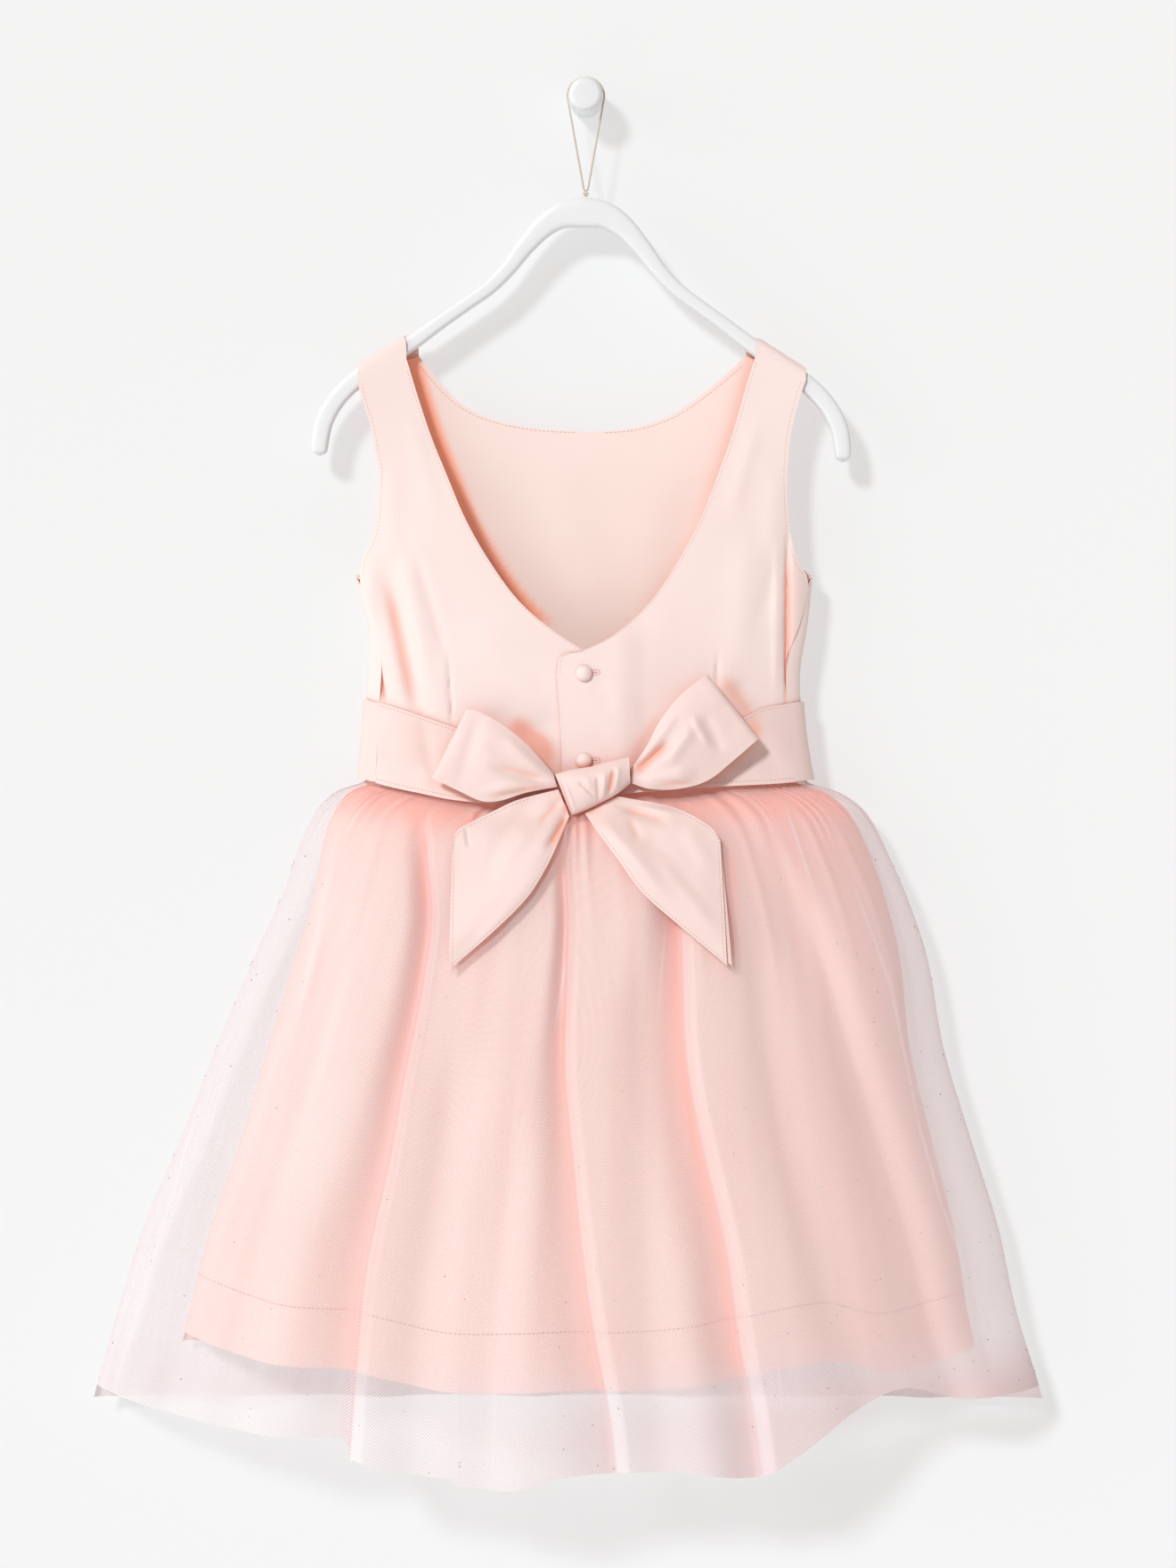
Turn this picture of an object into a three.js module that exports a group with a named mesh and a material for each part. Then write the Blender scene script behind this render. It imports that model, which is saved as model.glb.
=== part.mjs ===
// Toddler party dress on a small wooden hanger, hung by a twine loop from a round wall peg.
// Millimetres, +Z up. The origin is the centre of the peg's back face, which lies on the wall
// plane y = 0. The dress hangs in front of the wall at negative y and shows its back to -Y.
import * as THREE from 'three';
import { mergeVertices } from 'three/addons/utils/BufferGeometryUtils.js';

// Driving dimensions
const GAP = 0.3; // between pieces at a seam or a seat
const HANG_Y = -22; // plane through the middle of the hanger and of the bodice
const SATIN = 1.5; // wall of the bodice and the sash
const LINING = 1.0; // wall of the lining
const SKIRT_SATIN = 1.2; // wall of the underskirt
const NET = 1.0; // wall of the net overskirt
const PEG = { radius: 9.5, length: 34, round: 3 };
const TWINE = { radius: 0.6, knot: 1.7, lowest: -55, bend: 1.2, rise: 2.6 };
const HANGER_DEPTH = 12;
const HANGER_BEVEL = 3;
const HANGER_TILT = THREE.MathUtils.degToRad(-0.7);

// The hanger's bar: its middle line and its height across, from the centre out to one tip
const HANGER = [
  { x: 0, z: -65.8, height: 17.4 },
  { x: 12, z: -67.5, height: 15 },
  { x: 22, z: -73.6, height: 12.5 },
  { x: 33, z: -85.5, height: 10 },
  { x: 43, z: -98.6, height: 8.6 },
  { x: 53, z: -108.8, height: 8 },
  { x: 66, z: -118.4, height: 7.6 },
  { x: 80, z: -128.4, height: 7.8 },
  { x: 97, z: -141, height: 8.6 },
  { x: 112, z: -151, height: 9.4 },
  { x: 127, z: -161.4, height: 10 },
  { x: 138, z: -172.5, height: 10 },
  { x: 145, z: -185, height: 10 },
  { x: 147.4, z: -197, height: 9.4 },
  { x: 147.6, z: -205, height: 8 },
];

// The bodice as a flattened tube: its sides, and how far it stands from its middle plane
const BODICE = [
  { z: -392, left: -124, right: 124, depth: 16.5 },
  { z: -345, left: -123.5, right: 121, depth: 16.5 },
  { z: -325, left: -122.5, right: 120.5, depth: 16.3 },
  { z: -300, left: -122.5, right: 124.5, depth: 15.8 },
  { z: -276, left: -128.5, right: 127, depth: 15 },
  { z: -240, left: -130, right: 129, depth: 13.4 },
  { z: -200, left: -132, right: 131, depth: 11 },
];
const BODICE_POWER = 2.4; // of the rounded section
const STRAP_DEPTH = HANGER_DEPTH / 2 + 0.6 + SATIN / 2; // from the hanger's middle plane
const STRAP_FLAT = { low: -240, high: -165 }; // where the section goes flat along the hanger
const STRAP_ARC = 7; // height of the bend over the hanger's bar
const STRAP_POWER = 3.5; // of that bend
const CROWN = 0.7 + SATIN / 2; // the bend's top above the bar's upper edge
const WAIST = 4.2; // the waist seam above the line where the skirt leaves the sash
const LINING_WAIST = WAIST + 1.5; // the lining ends a little higher
const SHOULDER_GAP = 0.2; // of each strap end from the middle plane at the shoulder seam
// The side seam from waist to underarm: its angle round the section from the middle of the back
const SEAM = [
  { z: -385, angle: 68 },
  { z: -366, angle: 68 },
  { z: -338, angle: 68 },
  { z: -308, angle: 69 },
  { z: -277, angle: 79 },
];
const SEAM_GAP = 0.9; // degrees left open between front and back

// Levels of a panel from waist to shoulder: its outer edge (armhole) and inner edge (neckline)
const BACK_LEFT = [
  { inner: 17, high: -396 },
  { inner: 17, high: -370 },
  { inner: 17, high: -347 },
  { inner: 16, high: -322 },
  { inner: -1, high: -313.6 },
  { outer: -126, low: -264, inner: -19, high: -302 },
  { outer: -121, low: -251, inner: -37.5, high: -285.8 },
  { outer: -117.8, low: -238.5, inner: -54, high: -263.5 },
  { outer: -116.4, low: -214, inner: -68, high: -238.8 },
  { outer: -118, low: -204, inner: -78.5, high: -214 },
  { outer: -122, low: -184.5, inner: -87, high: -193 },
  { outer: -127.2, low: -168, inner: -94.3, high: -171.2 },
  { outer: -128.4, low: -161.5, inner: -101, high: -149 },
];
const BACK_RIGHT = [
  { inner: -13, high: -396 },
  { inner: -13.4, high: -375 },
  { inner: -14.4, high: -352 },
  { inner: -15.2, high: -319 },
  { inner: -1, high: -313.4 },
  { outer: 120, low: -264, inner: 16.6, high: -304.4 },
  { outer: 116, low: -251, inner: 37, high: -285.5 },
  { outer: 114.2, low: -238.5, inner: 53, high: -261.5 },
  { outer: 113.4, low: -222, inner: 64.8, high: -239 },
  { outer: 114, low: -205, inner: 74.5, high: -214 },
  { outer: 115.8, low: -190, inner: 82.5, high: -191.5 },
  { outer: 120.5, low: -171, inner: 90, high: -165.5 },
  { outer: 124.2, low: -160.5, inner: 96, high: -146 },
];
const FRONT = [
  { left: 2, right: 2, high: -388 },
  { left: 2, right: 2, high: -362 },
  { left: 2, right: 2, high: -330 },
  { left: 2, right: 2, high: -298 },
  { left: 2, right: 2, high: -266 },
  { angle: 111, low: -264, left: 2, right: 2, high: -238 },
  { angle: 118, low: -250, left: 2, right: 2, high: -212 },
  { angle: 121.5, low: -234, left: 3, right: 3, high: -189.2 },
  { angle: 123, low: -218, left: -24.5, right: 24, high: -187.6 },
  { angle: 123, low: -204, left: -46, right: 38.5, high: -183.8 },
  { angle: 121.5, low: -192, left: -62, right: 51, high: -178.2 },
  { angle: 119, low: -180, left: -74.5, right: 63.5, high: -169.6 },
  { angle: 116, low: -170, left: -85.2, right: 77.8, high: -158 },
  { angle: 111, low: -161, left: -94.4, right: 90.6, high: -146.5 },
];
const LEFT_STRAP = { outer: -128.2, inner: -104.2 };
const RIGHT_STRAP = { outer: 124, inner: 98.6 };
const WRAP_ANGLES = [12, 38, 62, 88.5]; // round the bar, 90 is the shoulder seam
const LINING_TOP = 12; // the lining's last level among those of the front
// Right back over left back: how far it lifts off, to which x, and fading out over what height
const OVERLAP = { lift: 2.1, edge: 17, fade: 18, full: -312, none: -290 };

const BUTTON = { radius: 4.6, height: 3.6, x: -1, top: -326.4, bottom: -375.6, flat: 0.6 };

// The sash: upper and lower edge across the back, falling to the bow
const SASH_LEFT = [
  { x: -124.2, top: -340.5, low: -385 },
  { x: -111, top: -344, low: -389.5 },
  { x: -93, top: -350, low: -393.6 },
  { x: -74.5, top: -356.5, low: -397.4 },
  { x: -45, top: -368, low: -400.2 },
  { x: -18, top: -381.5, low: -400.6 },
  { x: -6, top: -384.5, low: -400.6 },
];
const SASH_RIGHT = [
  { x: 124.6, top: -342, low: -386 },
  { x: 113, top: -343.6, low: -387.6 },
  { x: 100.5, top: -346, low: -388.6 },
  { x: 88.8, top: -351.5, low: -389.2 },
  { x: 57.8, top: -366, low: -391 },
  { x: 26.5, top: -380.5, low: -393.5 },
  { x: 15, top: -383, low: -396 },
];
const SASH_OUT = SATIN + 0.5; // from the bodice's middle surface
const SASH_FLARE = 3; // how far the lower edge stands off over the gathers
const SASH_MIDDLE = -370; // height of the sash's middle line at the bow
const SASH_STEP = { from: 30, to: 60 }; // from the bow, where it comes down off the overlap
const SASH_LEVEL = { from: 0.08, to: 0.92 }; // where it turns level round the front

// The skirt below the sash: sides and depths at each drop below the sash's lower edge
const SKIRT = [
  { drop: -2, left: -121.5, right: 122, show: 16, wall: 15.6 },
  { drop: 1, left: -126.5, right: 127, show: 17.8, wall: 16 },
  { drop: 5, left: -138.5, right: 140.5, show: 24, wall: 16.8 },
  { drop: 12, left: -147.5, right: 152, show: 30.5, wall: 17.2 },
  { drop: 20, left: -154, right: 159.5, show: 35, wall: 17.4 },
  { drop: 33, left: -160.5, right: 167, show: 38.5, wall: 17.6 },
  { drop: 65, left: -171.5, right: 181.5, show: 44, wall: 17.8 },
  { drop: 100, left: -187.5, right: 193, show: 49, wall: 18 },
  { drop: 150, left: -208.5, right: 202, show: 56, wall: 18 },
  { drop: 200, left: -228, right: 217, show: 62, wall: 18 },
  { drop: 250, left: -249, right: 232.5, show: 67.5, wall: 18 },
  { drop: 300, left: -264.5, right: 243.5, show: 72, wall: 18 },
  { drop: 345, left: -277, right: 257, show: 75, wall: 18 },
  { drop: 400, left: -289, right: 268, show: 77, wall: 18 },
];
const SKIRT_WIDE = SKIRT[4].right; // half its width just under the sash
// Where the skirt leaves the sash: the height of that line across the skirt (-1 left, 1 right)
const SKIRT_LINE = [
  { across: -1, z: -386.8 },
  { across: -0.7, z: -394.6 },
  { across: -0.4, z: -401.2 },
  { across: 0, z: -401.4 },
  { across: 0.4, z: -393.4 },
  { across: 0.8, z: -389.8 },
  { across: 1, z: -387.6 },
];

// Hem of the net overskirt and of the satin underskirt, as drops below the sash line
const NET_HEM = [
  { across: -1, drop: 340 },
  { across: -0.8, drop: 349 },
  { across: -0.6, drop: 353 },
  { across: -0.47, drop: 351 },
  { across: -0.44, drop: 361 },
  { across: -0.28, drop: 369 },
  { across: -0.12, drop: 376 },
  { across: 0, drop: 369 },
  { across: 0.2, drop: 370 },
  { across: 0.38, drop: 378 },
  { across: 0.47, drop: 367 },
  { across: 0.6, drop: 345 },
  { across: 0.72, drop: 334 },
  { across: 0.84, drop: 342 },
  { across: 1, drop: 340 },
];
const SATIN_HEM = [
  { across: -1, drop: 310 },
  { across: -0.7, drop: 316 },
  { across: -0.45, drop: 315 },
  { across: -0.25, drop: 323 },
  { across: 0, drop: 323 },
  { across: 0.3, drop: 326 },
  { across: 0.6, drop: 318 },
  { across: 0.75, drop: 326 },
  { across: 1, drop: 318 },
];
const HEMS = { net: NET_HEM, satin: SATIN_HEM };
const WALL_HEM = { net: 348, satin: 316 };
const SIDE_GAP = 0.25; // of each half from the middle plane at the skirt's side seams
const SIDE_FADE = 0.12; // share of the width over which folds fade out towards a side seam
const CROWDING = 0.38; // of the columns towards the middle, 0 for none
const WALL_ROUND = 0.7; // power of the wall side's section, under 1 fills its corners

// Drops at which a fold reaches its middle and hem places, and over which it grows deep
const FOLD = { middle: 190, hem: 370, grow: 70 };
// The skirt's long folds on the shown side: troughs, by their place across the skirt
const FOLDS = [
  { top: -0.9, middle: -0.84, hem: -0.82, start: 20, depth: 7, left: 0.04, right: 0.06 },
  { top: -0.78, middle: -0.7, hem: -0.69, start: 40, depth: 9, left: 0.05, right: 0.07 },
  { top: -0.62, middle: -0.485, hem: -0.456, start: 2, depth: 22, left: 0.085, right: 0.05 },
  { top: -0.42, middle: -0.34, hem: -0.33, start: 90, depth: 8, left: 0.05, right: 0.05 },
  { top: -0.3, middle: -0.2, hem: -0.2, start: 120, depth: 8, left: 0.06, right: 0.05 },
  { top: -0.1, middle: 0.01, hem: 0.085, start: 4, depth: 18, left: 0.07, right: 0.05 },
  { top: 0.12, middle: 0.16, hem: 0.19, start: 60, depth: 8, left: 0.05, right: 0.06 },
  { top: 0.25, middle: 0.305, hem: 0.385, start: 20, depth: 20, left: 0.08, right: 0.045 },
  { top: 0.42, middle: 0.46, hem: 0.5, start: 30, depth: 9, left: 0.04, right: 0.06 },
  { top: 0.56, middle: 0.6, hem: 0.64, start: 16, depth: 12, left: 0.06, right: 0.04 },
  { top: 0.72, middle: 0.76, hem: 0.77, start: 30, depth: 12, left: 0.05, right: 0.04 },
  { top: 0.86, middle: 0.9, hem: 0.9, start: 40, depth: 8, left: 0.03, right: 0.03 },
];
// Folds on the wall side, shallower because the skirt lies along the wall there
const WALL_FOLDS = [
  { top: -0.75, middle: -0.7, hem: -0.7, start: 30, depth: 9, left: 0.06, right: 0.06 },
  { top: -0.45, middle: -0.4, hem: -0.38, start: 10, depth: 12, left: 0.07, right: 0.05 },
  { top: -0.12, middle: -0.1, hem: -0.08, start: 20, depth: 10, left: 0.06, right: 0.06 },
  { top: 0.2, middle: 0.22, hem: 0.25, start: 10, depth: 12, left: 0.05, right: 0.07 },
  { top: 0.52, middle: 0.5, hem: 0.5, start: 20, depth: 10, left: 0.06, right: 0.06 },
  { top: 0.78, middle: 0.76, hem: 0.76, start: 30, depth: 9, left: 0.05, right: 0.05 },
];
// Gathers under the sash, on each side of the skirt, and the drops at which they rise and fade
const GATHERS = { count: 24, height: 1.1, from: -4, full: 6, fading: 12, gone: 60 };
const UNDER = { inset: 6.0, gathers: 1.4, spread: 0.008 }; // satin inside the net
// How much further the satin's sides lie inside the net's, by the drop
const NARROW = [
  { drop: 0, left: 0, right: 0 },
  { drop: 85, left: 15, right: 8 },
  { drop: 200, left: 27, right: 15 },
  { drop: 285, left: 32, right: 19 },
  { drop: 345, left: 33, right: 22 },
];

// The bow, each piece by its upper and lower edge from the knot outwards
const BOW_LEFT = [
  { topX: -18.6, topZ: -382.8, lowX: -16, lowZ: -389.8, puff: 2.6 },
  { topX: -27.5, topZ: -372.5, lowX: -33, lowZ: -393, puff: 5.5 },
  { topX: -37, topZ: -363, lowX: -47.5, lowZ: -397.6, puff: 6.6 },
  { topX: -50, topZ: -353.3, lowX: -58.5, lowZ: -397.8, puff: 6 },
  { topX: -62, topZ: -347.4, lowX: -72, lowZ: -391.8, puff: 4 },
  { topX: -66, topZ: -347.2, lowX: -84.5, lowZ: -385.8, puff: 2.4 },
];
const BOW_RIGHT = [
  { topX: 25.4, topZ: -380, lowX: 26, lowZ: -388, puff: 2.6 },
  { topX: 34, topZ: -368, lowX: 36, lowZ: -391, puff: 5.5 },
  { topX: 41, topZ: -354.5, lowX: 52, lowZ: -391, puff: 6.6 },
  { topX: 50, topZ: -342, lowX: 68, lowZ: -386.5, puff: 6 },
  { topX: 60, topZ: -333, lowX: 82, lowZ: -375.8, puff: 4 },
  { topX: 67, topZ: -328, lowX: 95, lowZ: -364.5, puff: 2.4 },
];
const BOW_FRONT = -49.5; // a loop's front layer, before its puff
const BOW_BACK = -47; // a loop's back layer
const BOW_EDGE = 0.15; // share of the puff's arc that its edges leave out
const BOW_TIP = 0.1; // how far the fold at a loop's end reaches past its last row
const TAIL_LEFT = [
  { topX: -15.4, topZ: -391.5, lowX: -9.2, lowZ: -406.6 },
  { topX: -37.5, topZ: -397.2, lowX: -15, lowZ: -420 },
  { topX: -50, topZ: -403, lowX: -21.5, lowZ: -434 },
  { topX: -62, topZ: -409, lowX: -33, lowZ: -452 },
  { topX: -72, topZ: -415, lowX: -52.5, lowZ: -471.5 },
  { topX: -74.5, topZ: -424, lowX: -76, lowZ: -491.8 },
];
const TAIL_RIGHT = [
  { topX: 18, topZ: -395.4, lowX: -0.4, lowZ: -405.2 },
  { topX: 32.2, topZ: -398, lowX: 7.5, lowZ: -416.5 },
  { topX: 48, topZ: -401.5, lowX: 18, lowZ: -430.5 },
  { topX: 60, topZ: -406.4, lowX: 32, lowZ: -449.5 },
  { topX: 70, topZ: -413, lowX: 53, lowZ: -468 },
  { topX: 75, topZ: -420, lowX: 78.5, lowZ: -489.5 },
];
const TAIL_Y = -50;
const TAIL_LIFT = 3.4; // of a tail over the skirt's surface
const TAIL_FOLD = 1.6; // height of the soft fold along a tail
const KNOT = [
  { topX: -17.2, topZ: -383, lowX: -8, lowZ: -406, depth: 10 },
  { topX: -9, topZ: -380.6, lowX: -2, lowZ: -404, depth: 14.6 },
  { topX: 3.2, topZ: -378.6, lowX: 8, lowZ: -399.2, depth: 15.4 },
  { topX: 15, topZ: -375.4, lowX: 17.4, lowZ: -394.2, depth: 14.6 },
  { topX: 24, topZ: -373.4, lowX: 25, lowZ: -388, depth: 10 },
];
const KNOT_Y = -51.7; // the knot's middle
const KNOT_SIDES = 14;

// Value of one column of a table at any place along another, as a smooth curve
function along(table, at, column, place) {
  const last = table.length - 1;
  const rising = table[last][at] > table[0][at] ? 1 : -1;
  if ((place - table[0][at]) * rising <= 0) return table[0][column];
  if ((place - table[last][at]) * rising >= 0) return table[last][column];
  let i = 0;
  while ((place - table[i + 1][at]) * rising > 0) i += 1;
  const step = table[i + 1][at] - table[i][at];
  const slope = (k) => {
    const a = table[Math.max(k - 1, 0)];
    const b = table[Math.min(k + 1, last)];
    return (b[column] - a[column]) / (b[at] - a[at]);
  };
  const t = (place - table[i][at]) / step;
  const s = 1 - t;
  const start = table[i][column] * s * s * (1 + 2 * t) + slope(i) * step * t * s * s;
  return start + table[i + 1][column] * t * t * (3 - 2 * t) - slope(i + 1) * step * t * t * s;
}

const mix = (a, b, t) => a + (b - a) * t;
const clamp = THREE.MathUtils.clamp;
const smooth = THREE.MathUtils.smoothstep;
const radians = THREE.MathUtils.degToRad;

function steps(count) {
  return Array.from({ length: count + 1 }, (_, i) => i / count);
}

function power(value, exponent) {
  return Math.sign(value) * Math.abs(value) ** exponent;
}

// A sheet between rows of points: each row may have its own number of points
function sheet(rows) {
  const points = rows.flat();
  const triangles = [];
  let first = 0;
  for (let r = 0; r + 1 < rows.length; r += 1) {
    const n = rows[r].length;
    const m = rows[r + 1].length;
    const second = first + n;
    let i = 0;
    let j = 0;
    while (i < n - 1 || j < m - 1) {
      const upper = i < n - 1 ? (i + 1) / (n - 1) : 2;
      const lower = j < m - 1 ? (j + 1) / (m - 1) : 2;
      if (upper <= lower) {
        triangles.push([first + i, second + j, first + i + 1]);
        i += 1;
      } else {
        triangles.push([first + i, second + j, second + j + 1]);
        j += 1;
      }
    }
    first = second;
  }
  return { points, triangles };
}

// Two sheets that share an edge become one
function weld(a, b) {
  const find = (p) => a.points.findIndex((q) => q.distanceTo(p) < 1e-6);
  const points = [...a.points];
  const place = b.points.map((p) => {
    const same = find(p);
    return same >= 0 ? same : points.push(p) - 1;
  });
  const triangles = [...a.triangles, ...b.triangles.map((t) => t.map((i) => place[i]))];
  return { points, triangles };
}

function normals({ points, triangles }) {
  const sums = points.map(() => new THREE.Vector3());
  const ab = new THREE.Vector3();
  const ac = new THREE.Vector3();
  for (const [a, b, c] of triangles) {
    ab.subVectors(points[b], points[a]);
    ac.subVectors(points[c], points[a]);
    ab.cross(ac);
    for (const i of [a, b, c]) sums[i].add(ab);
  }
  return sums.map((v) => v.normalize());
}

// The same sheet moved along its normals
function moved(cloth, distance) {
  const n = normals(cloth);
  const points = cloth.points.map((p, i) => p.clone().addScaledVector(n[i], distance));
  return { points, triangles: cloth.triangles };
}

// A sheet as a closed wall of cloth
function wall(cloth, thickness) {
  const outer = moved(cloth, thickness / 2).points;
  const inner = moved(cloth, -thickness / 2).points;
  const count = outer.length;
  const faces = [];
  const edges = new Map();
  for (const [a, b, c] of cloth.triangles) {
    faces.push([a, b, c], [a + count, c + count, b + count]);
    for (const [p, q] of [[a, b], [b, c], [c, a]]) {
      if (!edges.delete(`${q} ${p}`)) edges.set(`${p} ${q}`, [p, q]);
    }
  }
  for (const [p, q] of edges.values()) {
    faces.push([q, p, p + count], [q, p + count, q + count]);
  }
  return solid([...outer, ...inner], faces);
}

function solid(points, faces) {
  let volume = 0;
  for (const [a, b, c] of faces) {
    volume += points[a].dot(new THREE.Vector3().crossVectors(points[b], points[c]));
  }
  const out = volume > 0 ? faces : faces.map(([a, b, c]) => [a, c, b]);
  const geometry = new THREE.BufferGeometry();
  geometry.setAttribute(
    'position',
    new THREE.Float32BufferAttribute(points.flatMap((p) => p.toArray()), 3),
  );
  geometry.setIndex(out.flat());
  return geometry;
}

// Materials
const looks = {
  satin: { color: 0xfbe4df, roughness: 0.5 },
  lining: { color: 0xf9e0da, roughness: 0.6 },
  net: { color: 0xf6e2df, roughness: 0.8 },
  paint: { color: 0xf4f3f4, roughness: 0.4 },
  twine: { color: 0xe9e2d6, roughness: 0.9 },
};
const materials = Object.fromEntries(
  Object.entries(looks).map(([name, look]) => [
    name,
    new THREE.MeshStandardMaterial({ ...look, metalness: 0, name }),
  ]),
);

const dress = new THREE.Group();
function add(name, geometry, material) {
  const mesh = new THREE.Mesh(geometry, materials[material]);
  mesh.name = name;
  dress.add(mesh);
  return mesh;
}

// Peg, twine loop and hanger
function peg() {
  const { radius, length, round } = PEG;
  const profile = [new THREE.Vector2(0, 0), new THREE.Vector2(radius, 0)];
  for (const t of steps(3)) {
    const a = (t * Math.PI) / 2;
    const r = radius - round + round * Math.cos(a);
    profile.push(new THREE.Vector2(r, length - round + round * Math.sin(a)));
  }
  profile.push(new THREE.Vector2(0, length));
  const geometry = new THREE.LatheGeometry(profile, 32);
  geometry.rotateX(Math.PI); // its axis runs from the wall towards -Y
  return closed(geometry);
}

function closed(geometry) {
  geometry.deleteAttribute('uv');
  geometry.deleteAttribute('normal');
  return mergeVertices(geometry, 1e-4);
}

// A tube round a closed path that lies in one upright plane
function loopTube(path, radius, sides) {
  const count = path.length;
  const points = [];
  const faces = [];
  for (let i = 0; i < count; i += 1) {
    const before = path[(i + count - 1) % count];
    const after = path[(i + 1) % count];
    const ahead = new THREE.Vector2().subVectors(after, before).normalize();
    for (let k = 0; k < sides; k += 1) {
      const a = (2 * Math.PI * k) / sides;
      const out = radius * Math.cos(a);
      points.push(
        new THREE.Vector3(
          path[i].x + ahead.y * out,
          HANG_Y + radius * Math.sin(a),
          path[i].y - ahead.x * out,
        ),
      );
      const next = ((i + 1) % count) * sides;
      const k2 = (k + 1) % sides;
      faces.push([i * sides + k, next + k, next + k2]);
      faces.push([i * sides + k, next + k2, i * sides + k2]);
    }
  }
  return solid(points, faces);
}

function twineLoop() {
  const { radius, lowest, bend, rise } = TWINE;
  const over = PEG.radius + GAP + radius;
  const lean = Math.asin((over - bend) / -lowest); // of the straight runs
  const path = [];
  for (const t of steps(20)) {
    const a = mix(-lean, Math.PI + lean, t);
    path.push(new THREE.Vector2(over * Math.cos(a), over * Math.sin(a)));
  }
  for (const t of steps(6)) {
    const a = mix(Math.PI + lean, 2 * Math.PI - lean, t);
    path.push(new THREE.Vector2(bend * Math.cos(a), lowest + rise + bend * Math.sin(a)));
  }
  return loopTube(path, radius, 8);
}

function twineKnot() {
  const { radius, knot, lowest, bend, rise } = TWINE;
  const flat = 0.6; // its height against its width
  const geometry = new THREE.SphereGeometry(knot, 12, 8);
  geometry.scale(1.1, 1.1, flat);
  const top = lowest + rise - bend - radius - GAP;
  geometry.translate(0, HANG_Y, top - knot * flat);
  return closed(geometry);
}

const barEdge = (x, side) => {
  const z = along(HANGER, 'x', 'z', x);
  const slope = (along(HANGER, 'x', 'z', x + 1) - along(HANGER, 'x', 'z', x - 1)) / 2;
  const half = along(HANGER, 'x', 'height', x) / 2;
  return z + side * half * Math.hypot(1, slope);
};

// Height of the bar's upper edge, with the hanger's small tilt
function barTop(x) {
  const level = x - barEdge(Math.abs(x), 1) * Math.sin(-HANGER_TILT);
  return barEdge(Math.abs(level), 1) + level * Math.sin(HANGER_TILT);
}

function hangerOutline() {
  const middle = new THREE.CatmullRomCurve3(
    HANGER.map((row) => new THREE.Vector3(row.x, row.z, row.height)),
  );
  const upper = [];
  const lower = [];
  const count = 18;
  for (const t of steps(count)) {
    const p = middle.getPoint(t);
    const ahead = t < 1e-6 ? new THREE.Vector3(1, 0, 0) : middle.getTangent(t);
    const across = new THREE.Vector2(-ahead.y, ahead.x).normalize();
    upper.push(new THREE.Vector2(p.x, p.y).addScaledVector(across, p.z / 2 - HANGER_BEVEL));
    lower.push(new THREE.Vector2(p.x, p.y).addScaledVector(across, HANGER_BEVEL - p.z / 2));
  }
  const half = [...upper, ...lower.reverse()];
  const mirrored = half.slice(1, -1).reverse().map((p) => new THREE.Vector2(-p.x, p.y));
  return [...half, ...mirrored];
}

function hangerSolid() {
  const shape = new THREE.Shape(hangerOutline());
  const geometry = new THREE.ExtrudeGeometry(shape, {
    depth: HANGER_DEPTH - 2 * HANGER_BEVEL,
    bevelThickness: HANGER_BEVEL,
    bevelSize: HANGER_BEVEL,
    bevelSegments: 2,
    curveSegments: 1,
  });
  geometry.rotateX(Math.PI / 2);
  geometry.translate(0, HANG_Y + (HANGER_DEPTH - 2 * HANGER_BEVEL) / 2, 0);
  return closed(geometry);
}

// Bodice
// A point of the bodice's middle surface at an angle round its section, 0 at the middle of
// the shown side and 180 at the middle of the wall side; negative angles lie to the left
function bodicePoint(angle, z) {
  const left = along(BODICE, 'z', 'left', z);
  const right = along(BODICE, 'z', 'right', z);
  const deep = along(BODICE, 'z', 'depth', z);
  const a = radians(angle);
  const x = (left + right) / 2 + ((right - left) / 2) * power(Math.sin(a), 2 / BODICE_POWER);
  const flat = smooth(z, STRAP_FLAT.low, STRAP_FLAT.high);
  const round = deep * power(Math.cos(a), 2 / BODICE_POWER);
  const depth = mix(round, STRAP_DEPTH * Math.sign(Math.cos(a)), flat);
  return new THREE.Vector3(x, HANG_Y - depth, z);
}

// The angle at which a level's edge lies, on the shown side or the wall side
function bodiceAngle(x, z, wallSide) {
  const left = along(BODICE, 'z', 'left', z);
  const right = along(BODICE, 'z', 'right', z);
  const across = (x - (left + right) / 2) / ((right - left) / 2);
  const a = THREE.MathUtils.radToDeg(Math.asin(clamp(power(across, BODICE_POWER / 2), -1, 1)));
  return wallSide ? Math.sign(a || 1) * 180 - a : a;
}

// Where the skirt leaves the sash: it falls towards the bow on the shown side
function lineAt(across, shown) {
  if (shown) return along(SKIRT_LINE, 'across', 'z', across);
  return mix(SKIRT_LINE[0].z, SKIRT_LINE[SKIRT_LINE.length - 1].z, (across + 1) / 2);
}

// A row of points from a level's outer edge to its inner edge
function bodiceRow(level, from, to, low, columns) {
  return steps(columns).map((t) => {
    const angle = mix(from, to, t);
    const p = bodicePoint(angle, mix(low, level.high, t));
    if (!level.waist) return p;
    p.z = lineAt(p.x / SKIRT[0].right, Math.cos(radians(angle)) > 0) + level.waist;
    return p;
  });
}

// The levels of a panel, with the side seam's own levels filled in
function withSeam(levels, open, waist) {
  return levels.map((level, k) => {
    if (k >= SEAM.length) return level;
    return { ...level, waist: k === 0 ? waist : 0, low: SEAM[k].z, angle: SEAM[k].angle + open };
  });
}

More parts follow.
